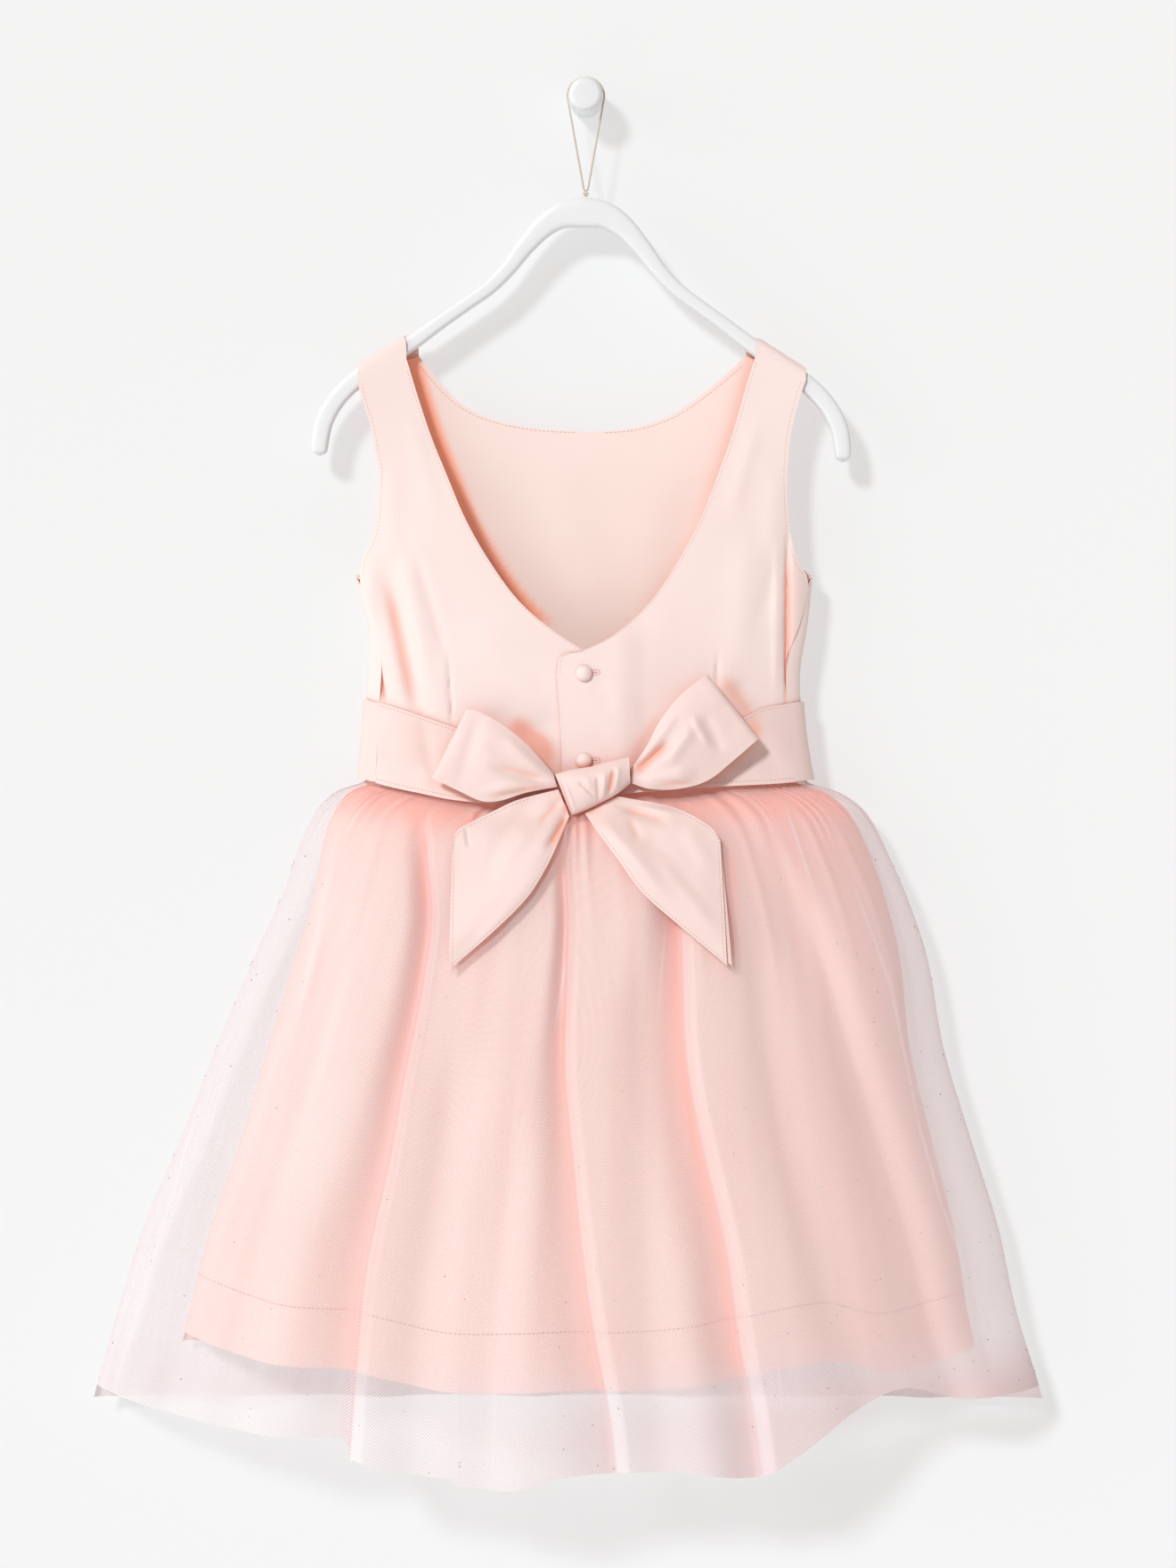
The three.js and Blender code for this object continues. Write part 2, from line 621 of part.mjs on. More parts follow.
// Rows of a strap round the hanger's bar up to the shoulder seam, side -1 shown, 1 wall
function strapRows(strap, edge, side, columns) {
  return WRAP_ANGLES.map((angle, k) => {
    const a = radians(angle);
    const near = mix(edge, strap.inner, (k + 1) / WRAP_ANGLES.length);
    return steps(columns).map((t) => {
      const x = mix(strap.outer, near, t);
      const top = barTop(x) + CROWN;
      const up = power(Math.sin(a), 2 / STRAP_POWER) - 1;
      const out = power(Math.cos(a), 2 / STRAP_POWER);
      const deep = k === WRAP_ANGLES.length - 1 ? SHOULDER_GAP : STRAP_DEPTH * out;
      return new THREE.Vector3(x, HANG_Y + side * deep, top + STRAP_ARC * up);
    });
  });
}

function backPanel(levels, strap, columns) {
  const side = Math.sign(strap.outer);
  const rows = withSeam(levels, -SEAM_GAP / 2, WAIST).map((l) => {
    const from = l.angle ? side * l.angle : bodiceAngle(l.outer, l.low);
    return bodiceRow(l, from, bodiceAngle(l.inner, l.high), l.low, columns);
  });
  rows.push(...strapRows(strap, levels[levels.length - 1].inner, -1, columns));
  return sheet(rows);
}

// The right back lies over the left back along the button stand
function lifted(cloth) {
  const { lift, edge, fade, full, none } = OVERLAP;
  for (const p of cloth.points) {
    const low = 1 - smooth(p.z, full, none);
    const near = 1 - smooth(p.x, edge, edge + fade);
    p.y -= lift * near * low;
  }
  return cloth;
}

function frontHalf(strap, levels, columns) {
  const side = Math.sign(strap.outer);
  const edge = side < 0 ? 'left' : 'right';
  const rows = levels.map((l) => {
    const inner = bodiceAngle(l[edge], l.high, true);
    const to = inner * side < 0 ? inner + side * 360 : inner;
    return bodiceRow(l, side * l.angle, to, l.low, columns);
  });
  if (levels.length === FRONT.length) {
    rows.push(...strapRows(strap, levels[levels.length - 1][edge], 1, columns));
  }
  const half = sheet(rows);
  if (side > 0) half.triangles = half.triangles.map(([a, b, c]) => [a, c, b]);
  return half;
}

function frontSheet(count, columns, waist) {
  const levels = withSeam(FRONT.slice(0, count), SEAM_GAP / 2, waist);
  return weld(frontHalf(LEFT_STRAP, levels, columns), frontHalf(RIGHT_STRAP, levels, columns));
}

// Buttons
function button(z) {
  const { radius, height, flat } = BUTTON;
  const profile = [new THREE.Vector2(0, 0), new THREE.Vector2(radius - 0.4, 0)];
  for (const t of steps(4)) {
    const a = (t * Math.PI) / 2;
    profile.push(new THREE.Vector2(radius * Math.cos(a), flat + (height - flat) * Math.sin(a)));
  }
  profile[profile.length - 1].x = 0;
  const geometry = new THREE.LatheGeometry(profile, 20);
  geometry.rotateX(Math.PI);
  const surface = bodicePoint(0, z).y - OVERLAP.lift - SATIN / 2 - GAP;
  geometry.translate(BUTTON.x, surface, z);
  return closed(geometry);
}

// Sash
// The direction out of the bodice's rounded section
function bodiceNormal(angle, z) {
  const a = radians(angle);
  const share = 2 - 2 / BODICE_POWER;
  const wide = (along(BODICE, 'z', 'right', z) - along(BODICE, 'z', 'left', z)) / 2;
  const deep = along(BODICE, 'z', 'depth', z);
  const x = power(Math.sin(a), share) / wide;
  const y = -power(Math.cos(a), share) / deep;
  return new THREE.Vector3(x, y, 0).normalize();
}

// A point of the sash, share 0 at its upper edge and 1 at its lower one
function sashPoint(angle, z, share) {
  const p = bodicePoint(angle, z);
  const shown = Math.cos(radians(angle)) > 0;
  const over = shown ? OVERLAP.lift * (1 - smooth(Math.abs(p.x), SASH_STEP.from, SASH_STEP.to)) : 0;
  const out = SASH_OUT + over + SASH_FLARE * share * share;
  return p.addScaledVector(bodiceNormal(angle, z), out);
}

function sashBack(table, columns) {
  const side = Math.sign(table[0].x);
  const end = table[table.length - 1];
  const from = side * (SEAM[0].angle - SEAM_GAP / 2);
  const to = bodiceAngle(end.x, end.top);
  const rows = steps(columns).map((t) => {
    const angle = mix(from, to, t);
    const { x } = bodicePoint(angle, SASH_MIDDLE);
    const top = along(table, 'x', 'top', x);
    const low = along(table, 'x', 'low', x);
    return steps(3).map((s) => sashPoint(angle, mix(top, low, s), s));
  });
  return sheet(rows);
}

function sashFront(columns) {
  const ends = [SASH_LEFT[0], SASH_RIGHT[0]];
  const open = SEAM[0].angle + SEAM_GAP / 2;
  const rows = steps(columns).map((t) => {
    const angle = mix(-open, open - 360, t);
    const level = smooth(t, SASH_LEVEL.from, SASH_LEVEL.to);
    const top = mix(ends[0].top, ends[1].top, level);
    const low = mix(ends[0].low, ends[1].low, level);
    return steps(2).map((s) => sashPoint(angle, mix(top, low, s), s));
  });
  return sheet(rows);
}

// Skirts
// How far the surface is pushed in by the folds at a place across the skirt
function foldDepth(folds, across, drop) {
  let sum = 0;
  for (const fold of folds) {
    const upper = mix(fold.top, fold.middle, smooth(drop, 0, FOLD.middle));
    const lowered = clamp((drop - FOLD.middle) / (FOLD.hem - FOLD.middle), 0, 1);
    const off = across - (drop < FOLD.middle ? upper : mix(fold.middle, fold.hem, lowered));
    const width = off < 0 ? fold.left : fold.right;
    const strength = smooth(drop, fold.start, fold.start + FOLD.grow);
    sum += fold.depth * strength * Math.exp(-((off / width) ** 2));
  }
  return sum;
}

function gatherHeight(turn, drop) {
  const { count, height, from, full, fading, gone } = GATHERS;
  const strength = smooth(drop, from, full) * (1 - smooth(drop, fading, gone));
  return height * strength * Math.cos(Math.PI * turn * count);
}

// How far the satin lies inside the net: more under the gathers
function underInset(drop) {
  const more = UNDER.gathers * (1 - smooth(drop, GATHERS.fading, GATHERS.gone));
  return UNDER.inset + more + UNDER.spread * Math.max(drop, 0);
}

function narrowing(across, drop) {
  return along(NARROW, 'drop', across < 0 ? 'left' : 'right', drop);
}

// A point of the skirt: turn runs from -1 at the left side to 1 at the right side,
// side is -1 on the shown half and 1 on the wall half
function skirtPoint(turn, drop, side, layer) {
  const angle = (Math.PI / 2) * mix(turn, turn ** 3, CROWDING);
  const across = Math.sin(angle);
  const out = Math.cos(angle);
  const left = along(SKIRT, 'drop', 'left', drop);
  const right = along(SKIRT, 'drop', 'right', drop);
  const deep = along(SKIRT, 'drop', side < 0 ? 'show' : 'wall', drop);
  const wide = (right - left) / 2;
  const round = side < 0 ? 1 : WALL_ROUND;
  const normal = new THREE.Vector3(across / wide, (side * out) / deep, 0).normalize();
  const table = side < 0 ? FOLDS : WALL_FOLDS;
  const fade = smooth(1 - Math.abs(across), 0, SIDE_FADE);
  const gather = layer === 'net' ? gatherHeight(turn, drop) : 0;
  const inset = layer === 'net' ? 0 : underInset(drop);
  const narrow = layer === 'net' ? 0 : narrowing(across, drop);
  const place = wide * across - (inset + narrow) * across ** 3;
  const line = lineAt(across, side < 0);
  const p = new THREE.Vector3(
    (left + right) / 2 + place,
    HANG_Y + side * (SIDE_GAP + (deep - inset) * out ** round),
    drop < 0 ? line + WAIST - 2 * GAP : line - drop,
  );
  return p.addScaledVector(normal, gather - foldDepth(table, place / wide, drop) * fade);
}

// A row of the skirt: all rows but the last follow the net's hem in both layers
function skirtRow({ share, columns }, side, layer) {
  return steps(columns).map((t) => {
    const turn = mix(-1, 1, t);
    const across = Math.sin((Math.PI / 2) * turn);
    const own = share === 1 ? layer : 'net';
    const hem = side < 0 ? along(HEMS[own], 'across', 'drop', across) : WALL_HEM[own];
    return skirtPoint(turn, share < 0 ? -2 : share * hem, side, layer);
  });
}

// Rows of the overskirt, by their share of the drop to the hem, and their number of columns
const NET_ROWS = [
  { share: -1, columns: 96 },
  { share: 0.004, columns: 96 },
  { share: 0.025, columns: 96 },
  { share: 0.07, columns: 96 },
  { share: 0.15, columns: 56 },
  { share: 0.27, columns: 56 },
  { share: 0.41, columns: 56 },
  { share: 0.57, columns: 56 },
  { share: 0.77, columns: 56 },
  { share: 1, columns: 56 },
];

// The same rows with no more columns than a number
const atMost = (rows, most) =>
  rows.map(({ share, columns }) => ({ share, columns: Math.min(columns, most) }));

function skirt(rows, side, layer) {
  return sheet(rows.map((row) => skirtRow(row, side, layer)));
}

// Bow
function bandPoint(row, s, y) {
  return new THREE.Vector3(mix(row.topX, row.lowX, s), y, mix(row.topZ, row.lowZ, s));
}

function bowLoop(table) {
  const last = table.length - 1;
  const across = steps(4);
  const rows = table.map((row) => across.map((s) => {
    const arc = Math.sin(Math.PI * mix(BOW_EDGE, 1 - BOW_EDGE, s));
    return bandPoint(row, s, BOW_FRONT - row.puff * arc);
  }));
  const end = table[last];
  const before = table[last - 1];
  const tip = { ...end };
  for (const key of ['topX', 'topZ', 'lowX', 'lowZ']) {
    tip[key] += (end[key] - before[key]) * BOW_TIP;
  }
  rows.push(across.map((s) => bandPoint(tip, s, BOW_FRONT + 0.4)));
  for (let k = last; k >= 0; k -= 1) {
    const back = k === last ? BOW_BACK - 1 : BOW_BACK;
    rows.push(across.map((s) => bandPoint(table[k], s, back)));
  }
  return sheet(rows);
}

function bowTail(table) {
  const rows = table.map((row, k) => steps(5).map((s) => {
    const p = bandPoint(row, s, TAIL_Y);
    const fold = TAIL_FOLD * Math.sin(Math.PI * 2 * s) * smooth(k, 0, 2);
    p.y = Math.min(skirtReach(p.x, p.z) - TAIL_LIFT, TAIL_Y) + Math.min(fold, 0);
    return p;
  }));
  return sheet(rows);
}

// The skirt's reach towards -Y over its folds at a place, which a tail lies on
function skirtReach(x, z) {
  const middle = along(SKIRT_LINE, 'across', 'z', x / SKIRT_WIDE);
  const drop = Math.max(middle - z, -2);
  const left = along(SKIRT, 'drop', 'left', drop);
  const right = along(SKIRT, 'drop', 'right', drop);
  const across = (2 * x - left - right) / (right - left);
  return HANG_Y - along(SKIRT, 'drop', 'show', drop) * Math.sqrt(1 - across * across);
}

// A short fat roll: rings between the upper and lower edge, closed by a fan at each end
function bowKnot() {
  const points = [];
  const faces = [];
  const sides = KNOT_SIDES;
  KNOT.forEach((row, k) => {
    for (let i = 0; i < sides; i += 1) {
      const a = (2 * Math.PI * i) / sides;
      points.push(bandPoint(row, (1 - Math.cos(a)) / 2, KNOT_Y - (row.depth / 2) * Math.sin(a)));
      const next = (i + 1) % sides;
      const here = k * sides;
      if (k + 1 < KNOT.length) {
        faces.push([here + i, here + next, here + sides + next]);
        faces.push([here + i, here + sides + next, here + sides + i]);
      }
    }
  });
  const last = points.length - sides;
  for (let i = 1; i + 1 < sides; i += 1) {
    faces.push([0, i + 1, i], [last, last + i, last + i + 1]);
  }
  return solid(points, faces);
}

const hangerMesh = add('hanger', hangerSolid(), 'paint');
hangerMesh.rotation.y = -HANGER_TILT;
add('peg', peg(), 'paint');
add('hanging_loop', twineLoop(), 'twine');
add('loop_knot', twineKnot(), 'twine');

add('bodice_front', wall(frontSheet(FRONT.length, 7, WAIST), SATIN), 'satin');
const inside = -(SATIN / 2 + GAP + LINING / 2);
const lining = moved(frontSheet(LINING_TOP, 7, LINING_WAIST), inside);
add('bodice_lining', wall(lining, LINING), 'lining');
add('bodice_back_left', wall(backPanel(BACK_LEFT, LEFT_STRAP, 9), SATIN), 'satin');
add('bodice_back_right', wall(lifted(backPanel(BACK_RIGHT, RIGHT_STRAP, 9)), SATIN), 'satin');
add('button_top', button(BUTTON.top), 'satin');
add('button_bottom', button(BUTTON.bottom), 'satin');

add('sash_front', wall(sashFront(24), SATIN), 'satin');
add('sash_back_left', wall(sashBack(SASH_LEFT, 12), SATIN), 'satin');
add('sash_back_right', wall(sashBack(SASH_RIGHT, 12), SATIN), 'satin');
add('bow_knot', bowKnot(), 'satin');
add('bow_loop_left', wall(bowLoop(BOW_LEFT), SATIN), 'satin');
add('bow_loop_right', wall(bowLoop(BOW_RIGHT), SATIN), 'satin');
add('bow_tail_left', wall(bowTail(TAIL_LEFT), SATIN), 'satin');
add('bow_tail_right', wall(bowTail(TAIL_RIGHT), SATIN), 'satin');

const satinRows = atMost(NET_ROWS, 56);
const wallRows = atMost(NET_ROWS, 40);
add('underskirt_back', wall(skirt(satinRows, -1, 'satin'), SKIRT_SATIN), 'satin');
add('underskirt_front', wall(skirt(wallRows, 1, 'satin'), SKIRT_SATIN), 'satin');
add('overskirt_back', wall(skirt(NET_ROWS, -1, 'net'), NET), 'net');
add('overskirt_front', wall(skirt(NET_ROWS, 1, 'net'), NET), 'net');

export default dress;
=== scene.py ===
# Looks of a toddler party dress that hangs on a small wooden hanger, shown from its back.
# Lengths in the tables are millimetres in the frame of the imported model: X to the right, Z up,
# and the wall at y = 0 behind the dress. MM turns them into Blender's metres.
import math

import bpy
import numpy as np
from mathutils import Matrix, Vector


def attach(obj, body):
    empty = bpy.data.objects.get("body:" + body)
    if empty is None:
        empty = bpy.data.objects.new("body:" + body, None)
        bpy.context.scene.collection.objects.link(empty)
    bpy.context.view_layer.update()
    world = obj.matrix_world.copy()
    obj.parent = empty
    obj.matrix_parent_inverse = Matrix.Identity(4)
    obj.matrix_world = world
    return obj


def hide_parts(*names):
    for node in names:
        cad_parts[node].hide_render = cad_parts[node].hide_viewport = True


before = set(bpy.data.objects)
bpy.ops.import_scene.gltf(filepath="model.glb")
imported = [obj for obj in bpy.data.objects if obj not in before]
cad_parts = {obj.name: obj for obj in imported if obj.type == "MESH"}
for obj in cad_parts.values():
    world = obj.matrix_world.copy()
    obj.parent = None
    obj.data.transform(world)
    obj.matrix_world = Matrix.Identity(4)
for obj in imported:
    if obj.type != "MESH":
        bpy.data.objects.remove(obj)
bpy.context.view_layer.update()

MM = 0.001
rng = np.random.default_rng(7)


def table(names, *rows):
    """Rows of numbers as one array for each named column."""
    return dict(zip(names.split(), np.array(rows, float).T))


def crease_lines(*rows):
    """A table of straight lines on the cloth, as seen from its back, with width and height."""
    return table("x0 z0 x1 z1 width height", *rows)


def each_row(rows):
    """The rows of a table, a dictionary for each."""
    return [dict(zip(rows, values)) for values in zip(*rows.values())]


# Driving sizes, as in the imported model
HANG_Y = -22
SATIN, LINING, SKIRT_SATIN = 1.0, 0.8, 0.8
LINING_IN = 1.55  # from the front's middle surface to that of its lining
PEG = {"radius": 9.5, "length": 34, "round": 3}
TWINE = {"radius": 0.6, "lowest": -55, "bend": 1.2, "rise": 2.6}
HANGER_DEPTH, HANGER_TILT = 12, math.radians(-0.7)
HANGER = table(
    "x z height",
    (0, -65.8, 17.4), (12, -67.5, 15), (22, -73.6, 12.5), (33, -85.5, 10), (43, -98.6, 8.6),
    (53, -108.8, 8), (66, -118.4, 7.6), (80, -128.4, 7.8), (97, -141, 8.6), (112, -151, 9.4),
    (127, -161.4, 10), (138, -172.5, 10), (145, -185, 10), (147.4, -197, 9.4), (147.6, -205, 8),
)
BODICE = table(
    "z left right depth",
    (-392, -124, 124, 16.5), (-345, -123.5, 121, 16.5), (-325, -122.5, 120.5, 16.3),
    (-300, -122.5, 124.5, 15.8), (-276, -128.5, 127, 15), (-240, -130, 129, 13.4),
    (-200, -132, 131, 11),
)
BODICE_POWER = 2.4
STRAP_DEPTH = 7.35
STRAP_FLAT = (-240, -165)
STRAP_ARC, STRAP_POWER, CROWN = 7, 3.5, 1.45
STRAP_TURN = np.linspace(5, 89.6, 16)  # degrees up to the shoulder seam, one for each row
WAIST = 4.2  # how far the bodice's lower edge lies above the skirt's line
WAIST_SHARE = 0.07  # share of a panel's rows that bend to meet that line
SEAM = table("z angle", (-385, 68), (-366, 68), (-338, 68), (-308, 69), (-277, 79))
SEAM_GAP = -0.1
# Levels of the panels from waist to shoulder. outer 0 means on the side seam
BACK_LEFT = table(
    "outer low inner high",
    (0, -385, 17, -396), (0, -366, 17, -370), (0, -338, 17, -347), (0, -308, 16, -322),
    (0, -277, -1, -313.6), (-126, -264, -19, -302), (-121, -251, -37.5, -285.8),
    (-117.8, -238.5, -54, -263.5), (-116.4, -214, -68, -238.8), (-118, -204, -78.5, -214),
    (-122, -184.5, -87, -193), (-127.2, -168, -94.3, -171.2), (-128.4, -161.5, -101, -149),
)
BACK_RIGHT = table(
    "outer low inner high",
    (0, -385, -13, -396), (0, -366, -13.4, -375), (0, -338, -14.4, -352), (0, -308, -15.2, -319),
    (0, -277, -1, -313.4), (120, -264, 16.6, -304.4), (116, -251, 37, -285.5),
    (114.2, -238.5, 53, -261.5), (113.4, -222, 64.8, -239), (114, -205, 74.5, -214),
    (115.8, -190, 82.5, -191.5), (120.5, -171, 90, -165.5), (124.2, -160.5, 96, -146),
)
FRONT = table(
    "angle low left right high",
    (68, -385, 2, 2, -388), (68, -366, 2, 2, -362), (68, -338, 2, 2, -330), (69, -308, 2, 2, -298),
    (78, -277.5, 2, 2, -266), (113, -267, 2, 2, -238), (118, -250, 2, 2, -212),
    (121.5, -234, 3, 3, -189.2), (123, -218, -24.5, 24, -187.6), (123, -204, -46, 38.5, -183.8),
    (121.5, -192, -62, 51, -178.2), (119, -180, -74.5, 63.5, -169.6),
    (116, -170, -85.2, 77.8, -158), (111, -161, -94.4, 90.6, -146.5),
)
SCOOP = 7  # row of FRONT at the lowest point of the front neckline
BELOW_SCOOP = 0.62  # share of the front's rows that lie below it
LEFT_STRAP = {"outer": -128.2, "inner": -104.2}
RIGHT_STRAP = {"outer": 124, "inner": 98.6}
OVERLAP = {"lift": 2.1, "edge": 17, "fade": 18, "full": -312, "none": -290}
BUTTON = {"radius": 4.6, "height": 3.6, "x": -1, "rows": (-326.4, -375.6)}
SASH_LEFT = table(
    "x top low",
    (-124.2, -340.5, -385), (-111, -344, -389.5), (-93, -350, -393.6), (-74.5, -356.5, -397.4),
    (-45, -368, -400.2), (-18, -381.5, -400.6), (-6, -384.5, -400.6),
)
SASH_RIGHT = table(
    "x top low",
    (124.6, -342, -386), (113, -343.6, -387.6), (100.5, -346, -388.6), (88.8, -351.5, -389.2),
    (57.8, -366, -391), (26.5, -380.5, -393.5), (15, -383, -396),
)
SASH_OUT, SASH_FLARE, SASH_WIDE = 2.0, 3, 0.045
SASH_MIDDLE = -370.0  # level at which places along the sash are measured
SEAM_DROP = {"left": 2.2, "right": 0.9}  # how far the front falls towards each side seam
SKIRT = table(
    "drop left right show wall",
    (-2, -121.5, 122, 17.5, 15.6), (1, -126.5, 127, 20.5, 16), (5, -138.5, 140.5, 27, 16.8),
    (12, -147.5, 152, 32, 17.2), (20, -154, 159.5, 35, 17.4), (33, -160.5, 167, 38.5, 17.6),
    (65, -171.5, 181.5, 44, 17.8), (100, -187.5, 193, 49, 18), (150, -208.5, 202, 56, 18),
    (200, -228, 217, 62, 18), (250, -249, 232.5, 67.5, 18), (300, -264.5, 243.5, 72, 18),
    (345, -277, 257, 75, 18), (400, -289, 268, 77, 18),
)
SKIRT_WIDE = 159.5
SKIRT_LINE = table(
    "across z",
    (-1, -386.8), (-0.7, -394.6), (-0.4, -401.2), (0, -401.4), (0.4, -393.4), (0.8, -389.8),
    (1, -387.6),
)
NET_HEM = table(
    "across drop",
    (-1, 340), (-0.8, 349), (-0.6, 353), (-0.47, 351), (-0.44, 361), (-0.28, 369), (-0.12, 376),
    (0, 369), (0.2, 370), (0.38, 378), (0.47, 367), (0.6, 345), (0.72, 334), (0.84, 342), (1, 340),
)
SATIN_HEM = table(
    "across drop",
    (-1, 310), (-0.7, 316), (-0.45, 315), (-0.25, 323), (0, 323), (0.3, 326), (0.6, 318),
    (0.75, 326), (1, 318),
)
WALL_HEM = {"net": 348, "satin": 316}
SIDE_GAP, SIDE_FADE, WALL_ROUND = 0.25, 0.12, 0.7
SATIN_TURN = 33  # height of the satin's turned hem
HEM_ROWS = np.array([0.5, 1.2, 4, 9, 15, 21, 27, 30.5, 32.4, 33])  # rows below its stitches
STITCHED_ROW = -len(HEM_ROWS)
ROW_SPREAD = 1.15  # above 1 sets the rows of a skirt closer together near the waist
HEM_STEPS = ((-0.45, 9, 0.016), (-0.229, 5, 0.05))  # steps of the net's hem
FOLD_DROPS = {"middle": 190, "hem": 370, "grow": 70}
FOLDS = table(
    "top middle hem start depth left right",
    (-0.9, -0.86, -0.83, 20, 4, 0.05, 0.05), (-0.82, -0.72, -0.7, 60, 5, 0.09, 0.05),
    (-0.4, -0.33, -0.31, 110, 5, 0.06, 0.07), (-0.27, -0.17, -0.17, 150, 4, 0.08, 0.05),
    (0.12, 0.17, 0.2, 60, 4, 0.06, 0.07), (0.46, 0.53, 0.66, 40, 5, 0.07, 0.1),
    (0.6, 0.76, 0.82, 20, 7, 0.11, 0.05),
)
# The three deep folds: where each one's sharp right edge lies across the skirt, and how far the
# hollow reaches to its left
DEEP = table(
    "drop first second third",
    (0, -0.66, -0.09, 0.36), (30, -0.57, -0.088, 0.295), (95, -0.5, -0.075, 0.272),
    (178, -0.475, -0.02, 0.31), (258, -0.47, 0.033, 0.362), (320, -0.456, 0.078, 0.38),
    (378, -0.45, 0.1, 0.392),
)
DEEP_LEFT = table(
    "drop first second third",
    (0, 0.035, 0.02, 0.05), (90, 0.036, 0.024, 0.07), (180, 0.055, 0.05, 0.08),
    (260, 0.08, 0.075, 0.07), (380, 0.08, 0.08, 0.06),
)
DEEP_MM = {"first": 14, "second": 10, "third": 13}
NET_DEEP = 0.6  # share of that depth in the net
# Places off a deep fold's edge where it starts to rise, is back at the surface, and is lit again
FOLD_EDGE = {"start": -0.012, "end": 0.034, "lit": 0.008}
WALL_FOLDS = table(
    "top middle hem start depth left right",
    (-0.75, -0.7, -0.7, 30, 9, 0.06, 0.06), (-0.45, -0.4, -0.38, 10, 12, 0.07, 0.05),
    (-0.12, -0.1, -0.08, 20, 10, 0.06, 0.06), (0.2, 0.22, 0.25, 10, 12, 0.05, 0.07),
    (0.52, 0.5, 0.5, 20, 10, 0.06, 0.06), (0.78, 0.76, 0.76, 30, 9, 0.05, 0.05),
)
UNDER = {"inset": 6.0, "gathers": 1.4, "spread": 0.008}
# How much further the satin's sides lie inside the net's
NARROW = table(
    "drop left right", (0, 0, 0), (85, 15, 8), (200, 27, 15), (285, 32, 19), (345, 33, 22),
)
BOW_LEFT = table(
    "topX topZ lowX lowZ puff",
    (-18.6, -382.8, -16, -389.8, 2.6), (-27.5, -372.5, -33, -393, 5.5),
    (-37, -363, -47.5, -397.6, 6.6), (-50, -353.3, -58.5, -397.8, 6),
    (-62, -347.4, -72, -391.8, 4), (-66, -347.2, -84.5, -385.8, 2.4),
)
BOW_RIGHT = table(
    "topX topZ lowX lowZ puff",
    (25.4, -380, 26, -388, 2.6), (34, -368, 36, -391, 5.5), (41, -354.5, 52, -391, 6.6),
    (50, -342, 68, -386.5, 6), (60, -333, 82, -375.8, 4), (67, -328, 95, -364.5, 2.4),
)
BOW_FRONT, BOW_BACK, BOW_EDGE, BOW_TIP = -49.5, -47, 0.15, 0.1
LOOP_FRONT = (48.2, 49.6)  # distances from the wall over which a loop's creases come in
TAIL_LEFT = table(
    "topX topZ lowX lowZ",
    (-15.4, -391.5, -9.2, -406.6), (-37.5, -397.2, -15, -420), (-50, -403, -21.5, -434),
    (-62, -409, -33, -452), (-72, -415, -52.5, -471.5), (-74.5, -424, -76, -491.8),
)
TAIL_RIGHT = table(
    "topX topZ lowX lowZ",
    (18, -395.4, -0.4, -405.2), (32.2, -398, 7.5, -416.5), (48, -401.5, 18, -430.5),
    (60, -406.4, 32, -449.5), (70, -413, 53, -468), (75, -420, 78.5, -489.5),
)
TAIL_Y, TAIL_LIFT, TAIL_FOLD = -50, 3.4, 1.6
KNOT = table(
    "topX topZ lowX lowZ depth",
    (-17.2, -383, -8, -406, 10), (-9, -380.6, -2, -404, 14.6), (3.2, -378.6, 8, -399.2, 15.4),
    (15, -375.4, 17.4, -394.2, 14.6), (24, -373.4, 25, -388, 10),
)
KNOT_Y = -51.7


# Small maths

def mix(a, b, t):
    return a + (b - a) * t


def smooth(value, low, high):
    t = np.clip((value - low) / (high - low), 0, 1)
    return t * t * (3 - 2 * t)


def power(value, exponent):
    return np.sign(value) * np.abs(value) ** exponent


def bump(value, width):
    return np.exp(-((value / width) ** 2))


def along(rows, at, column, place):
    """Value of one column of a table at any place along another, as a smooth curve."""
    x, y = rows[at], rows[column]
    if x[-1] < x[0]:
        x, y = x[::-1], y[::-1]
    last = len(x) - 1
    before = np.maximum(np.arange(last + 1) - 1, 0)
    after = np.minimum(np.arange(last + 1) + 1, last)
    slope = (y[after] - y[before]) / (x[after] - x[before])
    place = np.clip(place, x[0], x[-1])
    i = np.clip(np.searchsorted(x, place, side="right") - 1, 0, last - 1)
    step = x[i + 1] - x[i]
    t = (place - x[i]) / step
    s = 1 - t
    start = y[i] * s * s * (1 + 2 * t) + slope[i] * step * t * s * s
    return start + y[i + 1] * t * t * (3 - 2 * t) - slope[i + 1] * step * t * t * s


def lengths(path):
    """Lengths along a line of points, from 0 at its first point."""
    return np.concatenate([[0], np.cumsum(np.linalg.norm(np.diff(path, axis=0), axis=1))])


def point_at(at, place, path):
    """The point of a line at one of the lengths along it."""
    return np.array([np.interp(at, place, column) for column in path.T])


def ring(sides):
    """Angles all round a ring of points."""
    return np.linspace(0, 2 * math.pi, sides, endpoint=False)


def refined(grid, rows, columns):
    """A grid of points again with more rows and columns, evenly spaced along smooth curves."""
    for axis, count in ((0, rows), (1, columns)):
        grid = np.moveaxis(grid, axis, 0)
        gaps = np.linalg.norm(np.diff(grid, axis=0), axis=2).mean(1)
        place = np.concatenate([[0], np.cumsum(gaps)])
        at = np.linspace(0, place[-1], count)
        flat = grid.reshape(len(grid), -1).T
        new = [along({"at": place, "value": line}, "at", "value", at) for line in flat]
        grid = np.moveaxis(np.array(new).T.reshape((count,) + grid.shape[1:]), 0, axis)
    return grid


def grid_normals(grid):
    """Unit normals of a grid of points, from the directions of its rows and columns."""
    normal = np.cross(np.gradient(grid, axis=0), np.gradient(grid, axis=1))
    return normal / np.maximum(np.linalg.norm(normal, axis=2, keepdims=True), 1e-9)


